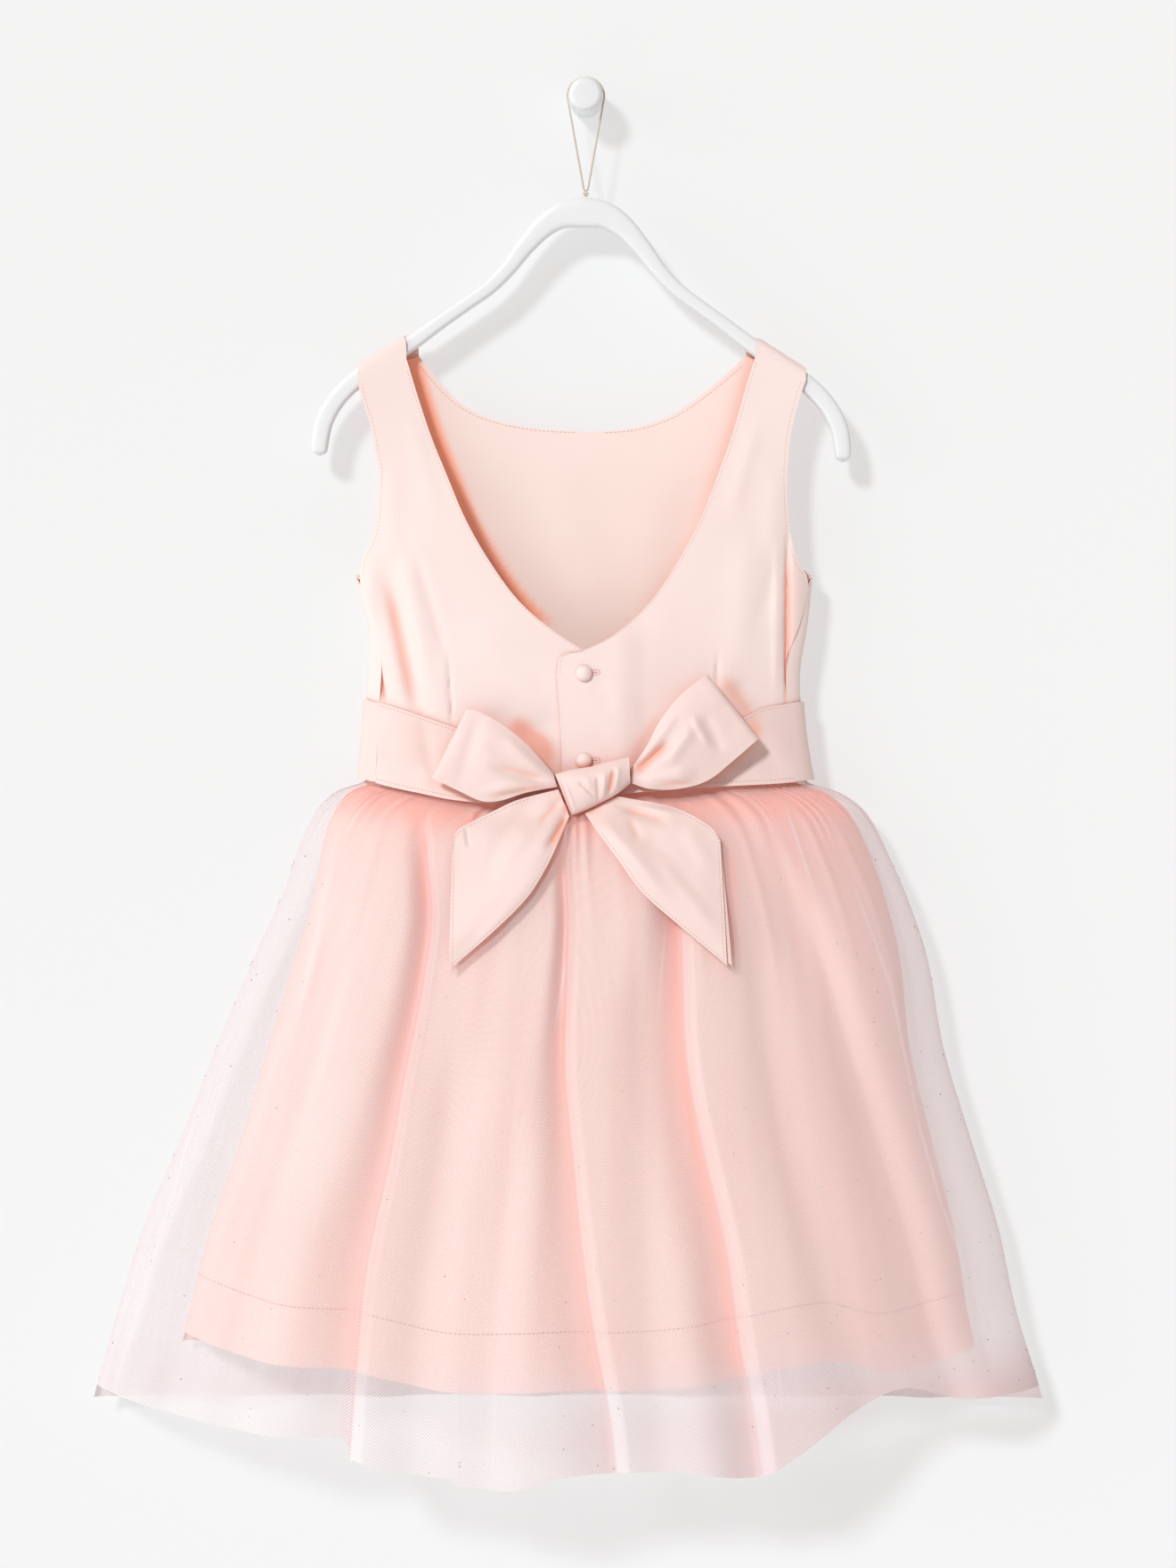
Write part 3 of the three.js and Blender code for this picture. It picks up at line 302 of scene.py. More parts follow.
def outward(grid, y_sign):
    """Normals of a grid that mostly face -Y (y_sign -1) or +Y."""
    normal = grid_normals(grid)
    return normal if normal[..., 1].mean() * y_sign > 0 else -normal


# Sections of the garment

def bodice_point(angle, z):
    """A point of the bodice: angle 0 is the middle of the back and 90 the right side."""
    left, right, deep = (along(BODICE, "z", c, z) for c in ("left", "right", "depth"))
    a = np.radians(angle)
    x = (left + right) / 2 + (right - left) / 2 * power(np.sin(a), 2 / BODICE_POWER)
    round_depth = deep * power(np.cos(a), 2 / BODICE_POWER)
    flat = smooth(z, *STRAP_FLAT)
    depth = mix(round_depth, STRAP_DEPTH * np.sign(np.cos(a)), flat)
    return np.stack(np.broadcast_arrays(x, HANG_Y - depth, z), -1)


def bodice_angle(x, z, wall=False):
    """The angle round the bodice of a place at x, on its back or on its wall side."""
    left, right = along(BODICE, "z", "left", z), along(BODICE, "z", "right", z)
    across = (x - (left + right) / 2) / ((right - left) / 2)
    a = np.degrees(np.arcsin(np.clip(power(across, BODICE_POWER / 2), -1, 1)))
    return np.where(a < 0, -180 - a, 180 - a) if wall else a


def line_at(across, shown):
    """Height of the skirt's line: as in its table on the back, straight on the wall side."""
    level = mix(SKIRT_LINE["z"][0], SKIRT_LINE["z"][-1], (across + 1) / 2)
    return np.where(shown, along(SKIRT_LINE, "across", "z", across), level)


def bar_edge(x, side):
    """Level of the hanger's upper (side 1) or lower edge before it is tilted."""
    z = along(HANGER, "x", "z", x)
    slope = (along(HANGER, "x", "z", x + 1) - along(HANGER, "x", "z", x - 1)) / 2
    return z + side * along(HANGER, "x", "height", x) / 2 * np.hypot(1, slope)


def bar_top(x):
    """Height of the tilted hanger's upper edge."""
    level = x - bar_edge(np.abs(x), 1) * math.sin(-HANGER_TILT)
    return bar_edge(np.abs(level), 1) + level * math.sin(HANGER_TILT)


def fine_levels(levels, count, first=0, last=None):
    """A table of levels again with more rows, evenly spaced along the edges."""
    names = list(levels)
    part = {n: levels[n][first:last] for n in names}
    ends = np.stack([part[n] for n in names if n not in ("outer", "angle", "from_angle")], 1)
    part["place"] = lengths(ends)
    at = np.linspace(0, part["place"][-1], count)
    return {n: along(part, "place", n, at) for n in names}


def to_waist(grid, shown, count):
    """Moves the lowest rows of a panel so that its end follows the skirt's line."""
    step = line_at(grid[0, :, 0] / SKIRT_WIDE, shown) + WAIST - grid[0, :, 2]
    share = np.clip(1 - np.arange(len(grid)) / (WAIST_SHARE * count), 0, 1)
    grid[..., 2] += step * share[:, None]


def strap_rows(strap, edge, side, across):
    """Rows of a strap round the hanger's bar, up to the shoulder seam."""
    rows = []
    for angle in STRAP_TURN:
        a = math.radians(angle)
        x = mix(strap["outer"], mix(edge, strap["inner"], angle / 90), across)
        up = math.sin(a) ** (2 / STRAP_POWER) - 1
        out = max(STRAP_DEPTH * math.cos(a) ** (2 / STRAP_POWER), 0.2)
        y = np.full_like(x, HANG_Y + side * out)
        rows.append(np.stack([x, y, bar_top(x) + CROWN + STRAP_ARC * up], -1))
    return np.array(rows)


def back_panel(levels, strap, count, columns):
    """One side of the open back, from its side seam to the V, with its strap."""
    side = np.sign(strap["outer"])
    on_seam = levels["outer"] == 0
    seam = side * (along(SEAM, "z", "angle", levels["low"]) - SEAM_GAP / 2)
    start = np.where(on_seam, seam, bodice_angle(levels["outer"], levels["low"]))
    rows = fine_levels({**levels, "from_angle": start}, count)
    across = np.linspace(0, 1, columns)
    inner = bodice_angle(rows["inner"], rows["high"])
    angle = mix(rows["from_angle"][:, None], inner[:, None], across)
    z = mix(rows["low"][:, None], rows["high"][:, None], across)
    grid = bodice_point(angle, z)
    to_waist(grid, True, count)
    straps = strap_rows(strap, rows["inner"][-1], -1, across)
    return np.concatenate([grid, straps])


def front_half(strap, edge, count, columns, with_strap):
    """One half of the front from its side seam to the middle, on the wall side."""
    side = np.sign(strap["outer"])
    across = np.linspace(0, 1, columns)
    grids = []
    lower = round(count * BELOW_SCOOP)
    parts = ((0, SCOOP + 1, lower), (SCOOP, None, count - lower))
    for first, end, rows_here in parts:
        rows = fine_levels(FRONT, rows_here, first, end)
        inner = bodice_angle(rows[edge], rows["high"], True)
        inner = np.where(inner * side < 0, inner + side * 360, inner)
        angle = mix(side * (rows["angle"] + SEAM_GAP / 2)[:, None], inner[:, None], across)
        z = mix(rows["low"][:, None], rows["high"][:, None], across)
        grids.append(bodice_point(angle, z))
    grid = np.concatenate([grids[0], grids[1][1:]])
    to_waist(grid, grid[0, :, 1] < HANG_Y, count)
    if with_strap:
        grid = np.concatenate([grid, strap_rows(strap, FRONT[edge][-1], 1, across)])
    return grid


def sash_point(angle, z, share):
    """A point of the sash, which lies over the bodice and flares a little towards its foot."""
    p = bodice_point(angle, z)
    a = np.radians(angle)
    power_left = 2 - 2 / BODICE_POWER
    wide = (along(BODICE, "z", "right", z) - along(BODICE, "z", "left", z)) / 2
    x = power(np.sin(a), power_left) / wide
    y = -power(np.cos(a), power_left) / along(BODICE, "z", "depth", z)
    normal = np.stack([x, y, np.zeros_like(x)], -1)
    normal /= np.linalg.norm(normal, axis=-1, keepdims=True)
    step = OVERLAP["lift"] * (1 - smooth(np.abs(p[..., 0]), 30, 60)) * (np.cos(a) > 0)
    out = SASH_OUT + step + SASH_FLARE * share * share
    return p + normal * out[..., None]


def sash_back(rows, columns, count):
    """One side of the sash at the back, from its side seam to the knot."""
    side = np.sign(rows["x"][0])
    start = side * (SEAM["angle"][0] - SEAM_GAP / 2)
    end = bodice_angle(rows["x"][-1], rows["top"][-1])
    angle = np.linspace(start, end, columns)[:, None]
    x = bodice_point(angle, np.full_like(angle, SASH_MIDDLE))[..., 0]
    share = np.linspace(0, 1, count)
    z = mix(along(rows, "x", "top", x), along(rows, "x", "low", x), share)
    return sash_point(angle + 0 * z, z, share + 0 * z)


def sash_front(columns, count):
    """The sash from the left side seam round the front to the right one."""
    start = SEAM["angle"][0] + SEAM_GAP / 2
    t = np.linspace(0, 1, columns)[:, None]
    angle = mix(-start, start - 360, t)
    level = smooth(t, 0.08, 0.92)
    share = np.linspace(0, 1, count)
    top = mix(SASH_LEFT["top"][0], SASH_RIGHT["top"][0], level)
    low = mix(SASH_LEFT["low"][0], SASH_RIGHT["low"][0], level)
    fall = SEAM_DROP["left"] * (1 - smooth(t, 0, 0.07)) + SEAM_DROP["right"] * smooth(t, 0.93, 1)
    z = mix(top, low, share) - fall
    return sash_point(angle + 0 * z, z, share + 0 * z)


# Skirts

def fold_depth(folds, across, drop):
    """How far the surface is pushed in by folds at a place across the skirt."""
    total = np.zeros(np.broadcast(across, drop).shape)
    middle, hem, grow = FOLD_DROPS["middle"], FOLD_DROPS["hem"], FOLD_DROPS["grow"]
    upper_share = smooth(drop, 0, middle)
    lower_share = np.clip((drop - middle) / (hem - middle), 0, 1)
    for f in each_row(folds):
        upper = mix(f["top"], f["middle"], upper_share)
        lower = mix(f["middle"], f["hem"], lower_share)
        off = across - np.where(drop < middle, upper, lower)
        width = np.where(off < 0, f["left"], f["right"])
        strength = smooth(drop, f["start"], f["start"] + grow)
        total += f["depth"] * strength * np.exp(-((off / width) ** 2))
    return total


def deep_folds(across, drop):
    """Depth of the three deep folds, and the painted shade in their hollows, 0 to 1."""
    depth, painted_shade = 0.0, 0.0
    for name, most in DEEP_MM.items():
        off = across - along(DEEP, "drop", name, drop)
        left = along(DEEP_LEFT, "drop", name, drop)
        start, end = FOLD_EDGE["start"], FOLD_EDGE["end"]
        shape = np.where(off < start, bump(off - start, left), 1 - smooth(off, start, end))
        strength = smooth(drop, 0, 70)
        depth = depth + most * strength * shape
        # Painted shade, darkest at each fold's edge and fading into its hollow.
        soft = 0.5 * bump(off, left) + 0.5 * bump(off, 0.3 * left)
        shade = np.where(off < 0, soft, 1 - smooth(off, 0, FOLD_EDGE["lit"]))
        painted_shade = painted_shade + smooth(drop, -6, 12) * shade
    return depth, painted_shade


# Fine pleats that run down from the gathers: place across the skirt at its top and its hem, first
# and last drop, width as a share of the skirt, and height in millimetres
PLEATS = table(
    "top hem start end width height",
    (-0.86, -0.9, 8, 120, 0.02, 0.6), (-0.74, -0.79, 4, 110, 0.016, 0.8),
    (-0.66, -0.62, 10, 200, 0.024, 0.5), (-0.5, -0.41, 6, 400, 0.03, 0.9),
    (-0.44, -0.36, 2, 90, 0.014, 0.9), (-0.36, -0.26, 12, 180, 0.024, 0.6),
    (-0.26, -0.15, 8, 400, 0.03, 0.6), (-0.18, -0.06, 2, 100, 0.014, 0.9),
    (-0.02, 0.12, 3, 120, 0.014, 0.9), (0.09, 0.2, 2, 220, 0.024, 0.6),
    (0.31, 0.44, 2, 140, 0.016, 1.0), (0.44, 0.53, 8, 330, 0.03, 0.7),
    (0.53, 0.61, 2, 150, 0.016, 1.0), (0.66, 0.72, 8, 260, 0.024, 0.6),
    (0.77, 0.82, 3, 120, 0.014, 0.9), (0.87, 0.93, 6, 200, 0.016, 0.6),
)
GATHERS = {"count": 36, "uneven": 2.2, "height": 1.5, "fade": 38}


def gather_height(turn, drop):
    """Small uneven gathers under the sash, which run out lower down."""
    phase = turn * GATHERS["count"] + GATHERS["uneven"] * np.sin(turn * 9.5 + 1.1)
    phase = phase + 0.8 * np.sin(turn * 27 + 0.4) + 0.45 * np.sin(turn * 49 + 2)
    wave = np.cos(np.pi * phase) * (0.6 + 0.4 * np.sin(turn * 19 + 0.7))
    fade = GATHERS["fade"] * (0.7 + 0.5 * np.sin(turn * 31 + 2))
    strength = smooth(drop, -4, 6) * (1 - smooth(drop, 5, fade))
    return GATHERS["height"] * strength * wave


def pleat_height(across, drop):
    """How far fine pleats stand out."""
    total = np.zeros(np.broadcast(across, drop).shape)
    for p in each_row(PLEATS):
        place = mix(p["top"], p["hem"], smooth(drop, 0, 370))
        strength = smooth(drop, p["start"], p["start"] + 30)
        strength = strength * (1 - smooth(drop, p["end"] - 90, p["end"]))
        total += p["height"] * strength * bump(across - place, p["width"])
    return total


def skirt_point(across, drop, side, layer):
    """A point of a skirt layer: across is -1 at the left side and 1 at the right side."""
    turn = np.arcsin(np.clip(across, -1, 1)) * 2 / math.pi
    out = np.sqrt(np.maximum(1 - across * across, 0))
    left, right = along(SKIRT, "drop", "left", drop), along(SKIRT, "drop", "right", drop)
    deep = along(SKIRT, "drop", "show" if side < 0 else "wall", drop)
    wide = (right - left) / 2
    normal = np.stack(np.broadcast_arrays(across / wide, side * out / deep, 0 * wide), -1)
    normal /= np.linalg.norm(normal, axis=-1, keepdims=True)
    fade = smooth(1 - np.abs(across), 0, SIDE_FADE)
    net = layer == "net"
    more = UNDER["gathers"] * (1 - smooth(drop, 12, 60))
    inset = 0 if net else UNDER["inset"] + more + UNDER["spread"] * np.maximum(drop, 0)
    narrow_left, narrow_right = (along(NARROW, "drop", s, drop) for s in ("left", "right"))
    narrow = 0 if net else np.where(across < 0, narrow_left, narrow_right)
    offset = wide * across - (inset + narrow) * across ** 3
    place = offset / wide
    raised = gather_height(turn, drop) * (1 if net else 0.45)
    raised = raised + pleat_height(side * -place, drop) * fade * (1 if net else 0.4)
    painted_shade = 0 * raised
    if side < 0:
        depth, painted_shade = deep_folds(place, drop)
        depth = depth * (NET_DEEP if net else 1)
        raised = raised - (fold_depth(FOLDS, place, drop) + depth) * fade
    else:
        raised = raised - fold_depth(WALL_FOLDS, place, drop) * fade
    line = line_at(across, side < 0)
    x = (left + right) / 2 + offset
    y = HANG_Y + side * (SIDE_GAP + (deep - inset) * out ** (1 if side < 0 else WALL_ROUND))
    z = np.where(drop < 0, line + WAIST - 0.6, line - drop)
    point = np.stack(np.broadcast_arrays(x, y, z), -1) + normal * raised[..., None]
    return point, painted_shade


def skirt_columns(count):
    """Places across the skirt, closer together at the sides and at the deep folds."""
    fine = np.linspace(-1, 1, 4001)
    base = np.sin(math.pi / 2 * mix(fine, fine ** 3, 0.3))
    weight = np.ones_like(base)
    folds = [float(along(DEEP, "drop", name, 200.0)) for name in DEEP_MM]
    for fold in folds:
        weight += 1.8 * bump(base - fold, 0.04)
    place = np.cumsum(weight) - weight[0]
    return np.interp(np.linspace(0, place[-1], count), place, base), folds


def skirt_grid(side, layer, rows, columns):
    """Points, drops, painted shade of the deep folds, and places across of a skirt layer.

    Its columns follow the deep folds.
    """
    base, folds = skirt_columns(columns)
    hems = NET_HEM if layer == "net" else SATIN_HEM

    def placed(drop):
        if side > 0:
            return base + 0 * drop
        edges = [along(DEEP, "drop", name, drop) for name in DEEP_MM]
        at = [-1] + folds + [1]
        to = [-1 + 0 * drop] + edges + [1 + 0 * drop]
        place = 0 * drop
        for k in range(4):
            t = (base - at[k]) / (at[k + 1] - at[k])
            inside = (base >= at[k]) & (base <= at[k + 1])
            place = np.where(inside, mix(to[k], to[k + 1], t), place)
        return place

    low = placed(np.full_like(base, 365.0))
    hem = along(hems, "across", "drop", low) if side < 0 else np.full_like(base, WALL_HEM[layer])
    if side < 0 and layer == "net":
        for at, height, spread in HEM_STEPS:
            sharp = smooth(low, at - 0.003, at + 0.003)
            hem = hem + height * (sharp - smooth(low, at - spread, at + spread))
    if layer == "satin":
        share = np.linspace(0, 1, rows - 1 - len(HEM_ROWS)) ** ROW_SPREAD
        stitched = hem - SATIN_TURN
        drop = np.concatenate([share[:, None] * stitched, HEM_ROWS[:, None] + stitched])
    else:
        drop = (np.linspace(0, 1, rows - 1) ** ROW_SPREAD)[:, None] * hem
    drop = np.concatenate([np.full_like(base, -2.0)[None, :], drop])
    place = placed(drop)
    points, painted_shade = skirt_point(place, drop, side, layer)
    return points, drop, painted_shade, place


# Bow

def band(rows, share, y):
    """Points between the upper and lower edge of a band, a row for each row of its table."""
    x = mix(rows["topX"][:, None], rows["lowX"][:, None], share)
    z = mix(rows["topZ"][:, None], rows["lowZ"][:, None], share)
    return np.stack(np.broadcast_arrays(x, y, z), -1)


def bow_loop(rows, count, columns):
    """A flat tube: its puffed front, its tip and its back, from the knot and back to it."""
    share = np.linspace(0, 1, 7)
    arc = np.sin(math.pi * mix(BOW_EDGE, 1 - BOW_EDGE, share))
    front = band(rows, share, BOW_FRONT - rows["puff"][:, None] * arc)
    tip = {n: rows[n][-1:] + (rows[n][-1:] - rows[n][-2:-1]) * BOW_TIP for n in rows}
    end = band(tip, share, np.full((1, 7), BOW_FRONT + 0.4))
    behind = np.full((len(rows["puff"]), 7), float(BOW_BACK))
    behind[-1] -= 1
    back = band(rows, share, behind)[::-1]
    return refined(np.concatenate([front, end, back]), count, columns)


def skirt_reach(x, z):
    """The y of the skirt's surface behind a place of the bow."""
    line = along(SKIRT_LINE, "across", "z", x / SKIRT_WIDE)
    drop = np.maximum(line - z, -2)
    left, right = along(SKIRT, "drop", "left", drop), along(SKIRT, "drop", "right", drop)
    across = (2 * x - left - right) / (right - left)
    return HANG_Y - along(SKIRT, "drop", "show", drop) * np.sqrt(1 - across * across)


def bow_tail(rows, count, columns):
    """A hanging end of the sash, which lies on the skirt."""
    share = np.linspace(0, 1, 6)
    grid = band(rows, share, 0.0)
    fade = smooth(np.arange(len(grid)), 0, 2)[:, None]
    fold = TAIL_FOLD * np.sin(2 * math.pi * share) * fade
    reach = skirt_reach(grid[..., 0], grid[..., 2]) - TAIL_LIFT
    grid[..., 1] = np.minimum(reach, TAIL_Y) + np.minimum(fold, 0)
    return refined(grid, count, columns)


# Meshes and materials

# Pitch, length and radius of stitches, and how far they are raised
STITCHES = {
    "bodice_edge_stitches": (2.2, 1.5, 0.14, 0.5), "neck_edge_stitches": (2.4, 1.7, 0.16, 0.5),
    "sash_stitches": (2.2, 1.7, 0.18, 0.5), "underskirt_hem_stitches": (2.6, 2.1, 0.22, 0.1),
    "buttonhole_stitches": (0.9, 0.8, 0.28, 0.5), "buttonhole_slit_shade": (6.1, 6, 0.45, 0.35),
}


def inside(grid, inset, last=False, axis=1):
    """The line that lies a little inside an edge of a grid, with its outward directions."""
    normal = outward(grid, -1)
    grid, normal = (np.moveaxis(g, axis, 1) for g in (grid, normal))
    if last:
        grid, normal = grid[:, ::-1], normal[:, ::-1]
    return np.array([point_at(inset, lengths(row), row) for row in grid]), normal[:, 0]


def cut(line, rows):
    """Part of a line of points and of its directions."""
    return line[0][rows], line[1][rows]


def stitches(name, lines, material):
    """Short tapered stitches along lines of points, raised to lie on the cloth."""
    pitch, length, radius, lift = STITCHES[name]
    points, faces = [], []
    for path, normal in lines:
        place = lengths(path)
        for at in np.arange(pitch / 2, place[-1], pitch):
            steps = np.array([-0.5, -0.25, 0.25, 0.5]) * length
            ends = np.array([point_at(at + step, place, path) for step in steps])
            up = point_at(at, place, normal)
            up /= np.linalg.norm(up)
            ahead = ends[3] - ends[0]
            ahead /= max(np.linalg.norm(ahead), 1e-6)
            beside = np.cross(up, ahead)
            first = len(points)
            ends = ends + up * lift
            points.append(ends[0])
            for end in ends[1:3]:
                for turn in (0, 1, 2, 3):
                    a = turn * math.pi / 2
                    points.append(end + radius * (up * math.cos(a) + beside * math.sin(a)))
            points.append(ends[3])
            for k in range(4):
                n = (k + 1) % 4
                faces.append([first, first + 1 + n, first + 1 + k])
                faces.append([first + 1 + k, first + 1 + n, first + 5 + n, first + 5 + k])
                faces.append([first + 5 + k, first + 5 + n, first + 9])
    return new_mesh(name, np.array(points), faces, material)


def swept(path, radius, sides=8):
    """Points and faces of a closed round cord along a closed path."""
    ahead = np.roll(path, -1, axis=0) - np.roll(path, 1, axis=0)
    ahead /= np.linalg.norm(ahead, axis=1, keepdims=True)
    beside = np.cross(ahead, np.array([0.1, 1, 0.05]))
    beside /= np.linalg.norm(beside, axis=1, keepdims=True)
    up = np.cross(beside, ahead)
    a = ring(sides)[:, None]
    rings = path[:, None] + radius * (beside[:, None] * np.cos(a) + up[:, None] * np.sin(a))
    i = np.arange(len(path))[:, None] * sides
    j = (np.arange(len(path))[:, None] + 1) % len(path) * sides
    k, n = np.arange(sides), (np.arange(sides) + 1) % sides
    return rings.reshape(-1, 3), np.stack([i + k, j + k, j + n, i + n], -1).reshape(-1, 4)


def tube_faces(rings, sides, corners):
    """Faces of a tube of rings of points, with both of its ends closed."""
    i = np.arange(rings - 1)[:, None] * sides + np.arange(sides)
    j = np.arange(rings - 1)[:, None] * sides + (np.arange(sides) + 1) % sides
    quads = np.stack([i, i + sides, j + sides, j], -1)[..., corners].reshape(-1, 4)
    last = (rings - 1) * sides
    return quads.tolist() + [list(range(sides)), list(range(last, last + sides))[::-1]]


def grid_faces(rows, columns, first=0):
    i = (np.arange(rows - 1)[:, None] * columns + np.arange(columns - 1)).ravel() + first
    return np.stack([i, i + 1, i + columns + 1, i + columns], 1)


def new_mesh(name, points, faces, material, uv=None, values=None):
    """A shaded mesh object from points in millimetres."""
    mesh = bpy.data.meshes.new(name)
    mesh.from_pydata((np.asarray(points) * MM).tolist(), [], [list(map(int, f)) for f in faces])
    mesh.polygons.foreach_set("use_smooth", [True] * len(mesh.polygons))
    if uv is not None:
        corner = np.zeros(len(mesh.loops), np.int32)
        mesh.loops.foreach_get("vertex_index", corner)
        layer = mesh.uv_layers.new(name="cloth")
        layer.data.foreach_set("uv", (uv[corner] * MM).astype(np.float32).ravel())
    for label, value in (values or {}).items():
        attribute = mesh.attributes.new(label, "FLOAT", "POINT")
        attribute.data.foreach_set("value", value.astype(np.float32).ravel())
    mesh.materials.append(material)
    piece = bpy.data.objects.new(name, mesh)
    bpy.context.scene.collection.objects.link(piece)
    return piece


def facing(grids, faces, y_sign):
    """Faces turned so that most of them look towards -Y or +Y."""
    points = np.concatenate([g.reshape(-1, 3) for g in grids])
    a, b, c = (points[faces[:, k]] for k in range(3))
    return faces if np.cross(b - a, c - a)[:, 1].sum() * y_sign > 0 else faces[:, ::-1]


def grid_uv(grid):
    """Lengths along the columns and rows of a grid, for weave and net."""
    across = np.linalg.norm(np.diff(grid, axis=1), axis=2)
    down = np.linalg.norm(np.diff(grid, axis=0), axis=2)
    u = np.pad(np.cumsum(across.mean(0)), (1, 0))[None, :] + 0 * grid[..., 0]
    v = np.pad(np.cumsum(down.mean(1)), (1, 0))[:, None] + 0 * grid[..., 0]
    return np.stack([u, v], -1).reshape(-1, 2)


def weld(piece, distance):
    """Joins the points of a piece that lie on each other."""
    joined = piece.modifiers.new("weld", "WELD")
    joined.merge_threshold = distance * MM


def cloth(name, grids, material, thickness, y_sign=-1, merge=True, values=None):
    """A piece of cloth from one or more grids of points, with its real thickness."""
    faces, first = [], 0
    for grid in grids:
        part = grid_faces(grid.shape[0], grid.shape[1], first)
        faces.append(facing([grid], part - first, y_sign) + first)
        first += grid.shape[0] * grid.shape[1]
    points = np.concatenate([g.reshape(-1, 3) for g in grids])
    uv = np.concatenate([grid_uv(g) for g in grids])
    piece = new_mesh(name, points, np.concatenate(faces), material, uv, values)
    if merge and len(grids) > 1:
        weld(piece, 0.02)
    if thickness:
        wall = piece.modifiers.new("wall", "SOLIDIFY")
        wall.thickness = thickness * MM
        wall.offset = 0
        crisp = piece.modifiers.new("crisp", "EDGE_SPLIT")
        crisp.split_angle = math.radians(50)
    return piece


def pushed(grid, y_sign, height):
    """A grid moved along its normals: height above 0 moves it outwards."""
    return grid + outward(grid, y_sign) * height[..., None]


def crease_height(grid, creases):
    """Soft troughs (height under 0) and ridges along straight lines seen from the back."""
    x, z = grid[..., 0], grid[..., 2]
    total = np.zeros_like(x)
    for c in each_row(creases):
        dx, dz = c["x1"] - c["x0"], c["z1"] - c["z0"]
        length = math.hypot(dx, dz)
        t = ((x - c["x0"]) * dx + (z - c["z0"]) * dz) / length ** 2
        off = ((x - c["x0"]) * dz - (z - c["z0"]) * dx) / length
        ends = smooth(t, -0.15, 0.25) * (1 - smooth(t, 0.7, 1.15))
        total += c["height"] * ends * bump(off, c["width"])
    return total


PAINTED_SHADE_CORAL = (0.82, 0.26, 0.16)  # painted shade: colour where satin lies close under other satin
PAINTED_GLOW_COLOUR = (1.0, 0.40, 0.27)  # colour of a painted glow, emitted where cloth lies in painted shade
WEAVE = {"threads": 900, "strength": 0.25, "crumple": 0.12, "crumple_scale": 60}
NET_CELLS = {"scale": 310, "lean": 32, "least": 0.8, "most": 1.2}


def shader_of(material):
    """The main shader of a material."""
    return material.node_tree.nodes["Principled BSDF"]


def add_node(material, kind, **inputs):
    """A new shader node with the values of some of its inputs, _ for a space in their names."""
    node = material.node_tree.nodes.new("ShaderNode" + kind)
    for name, value in inputs.items():
        node.inputs[name.replace("_", " ")].default_value = value
    return node


def maths(material, operation, first, second):
    """The sum or product of a socket and another socket or a number."""
    node = add_node(material, "Math")
    node.operation = operation
    material.node_tree.links.new(first, node.inputs[0])
    if isinstance(second, float):
        node.inputs[1].default_value = second
    else:
        material.node_tree.links.new(second, node.inputs[1])
    return node.outputs["Value"]


def clouds(material, scale, detail):
    """Noise over a piece, in its own space."""
    where = add_node(material, "TexCoord")
    noise = add_node(material, "TexNoise", Scale=scale, Detail=detail)
    material.node_tree.links.new(where.outputs["Object"], noise.inputs["Vector"])
    return noise.outputs["Fac"]


def mesh_value(material, name):
    """A value that the mesh holds at each of its points."""
    node = add_node(material, "Attribute")
    node.attribute_name = name
    return node.outputs["Fac"]


def cloth_place(material):
    """Lengths along the cloth at each of its points."""
    node = add_node(material, "UVMap")
    node.uv_map = "cloth"
    return node.outputs["UV"]


def new_material(name, colour, roughness, sheen=0.0):
    material = bpy.data.materials.new(name)
    material.use_nodes = True
    material.cycles.emission_sampling = "NONE"
    inputs = shader_of(material).inputs
    inputs["Base Color"].default_value = (*colour, 1)
    inputs["Roughness"].default_value = roughness
    inputs["Sheen Weight"].default_value = sheen
    inputs["Sheen Roughness"].default_value = 0.4
    inputs["Sheen Tint"].default_value = (1, 0.83, 0.77, 1)
    inputs["Specular IOR Level"].default_value = 0.35
    return material


def vary_colour(material, colour, other, scale):
    """Slow cloudy change between two near colours."""
    links = material.node_tree.links
    ramp = add_node(material, "ValToRGB")
    for stop, at, value in zip(ramp.color_ramp.elements, (0.35, 0.65), (colour, other)):
        stop.position = at
        stop.color = (*value, 1)
    links.new(clouds(material, scale, 3), ramp.inputs["Fac"])
    links.new(ramp.outputs["Color"], shader_of(material).inputs["Base Color"])


def tint(material, colour, value, low, high, most, painted_glow=0.0):
    """Turns the base colour towards another where a value is low (or high, if low > high); a
    painted glow, as emission, is added there if given.
    """
    links, shader = material.node_tree.links, shader_of(material)
    reach = add_node(material, "MapRange", From_Min=low, From_Max=high, To_Min=most, To_Max=0)
    reach.interpolation_type = "SMOOTHSTEP"
    both = add_node(material, "MixRGB", Color2=(*colour, 1))
    links.new(value, reach.inputs["Value"])
    links.new(reach.outputs["Result"], both.inputs["Fac"])
    links.new(shader.inputs["Base Color"].links[0].from_socket, both.inputs["Color1"])
    links.new(both.outputs["Color"], shader.inputs["Base Color"])
    if painted_glow:
        strength = maths(material, "MULTIPLY", reach.outputs["Result"], painted_glow)
        links.new(strength, shader.inputs["Emission Strength"])
        shader.inputs["Emission Color"].default_value = (*PAINTED_GLOW_COLOUR, 1)


def paint_close_shade(material, reach):
    """Painted shade: coral where cloth lies close to cloth, found by ambient occlusion."""
    near = add_node(material, "AmbientOcclusion", Distance=reach * MM)
    near.samples = 4
    tint(material, PAINTED_SHADE_CORAL, near.outputs["AO"], 0.1, 0.8, 0.7)


# Painted shade: turns the colour towards another, with a painted glow if given, where the mesh
# marks painted shade.
def paint_marked_shade(material, colour, most, painted_glow=0.0):
    tint(material, colour, mesh_value(material, "painted_shade"), 1.0, 0.0, most, painted_glow)


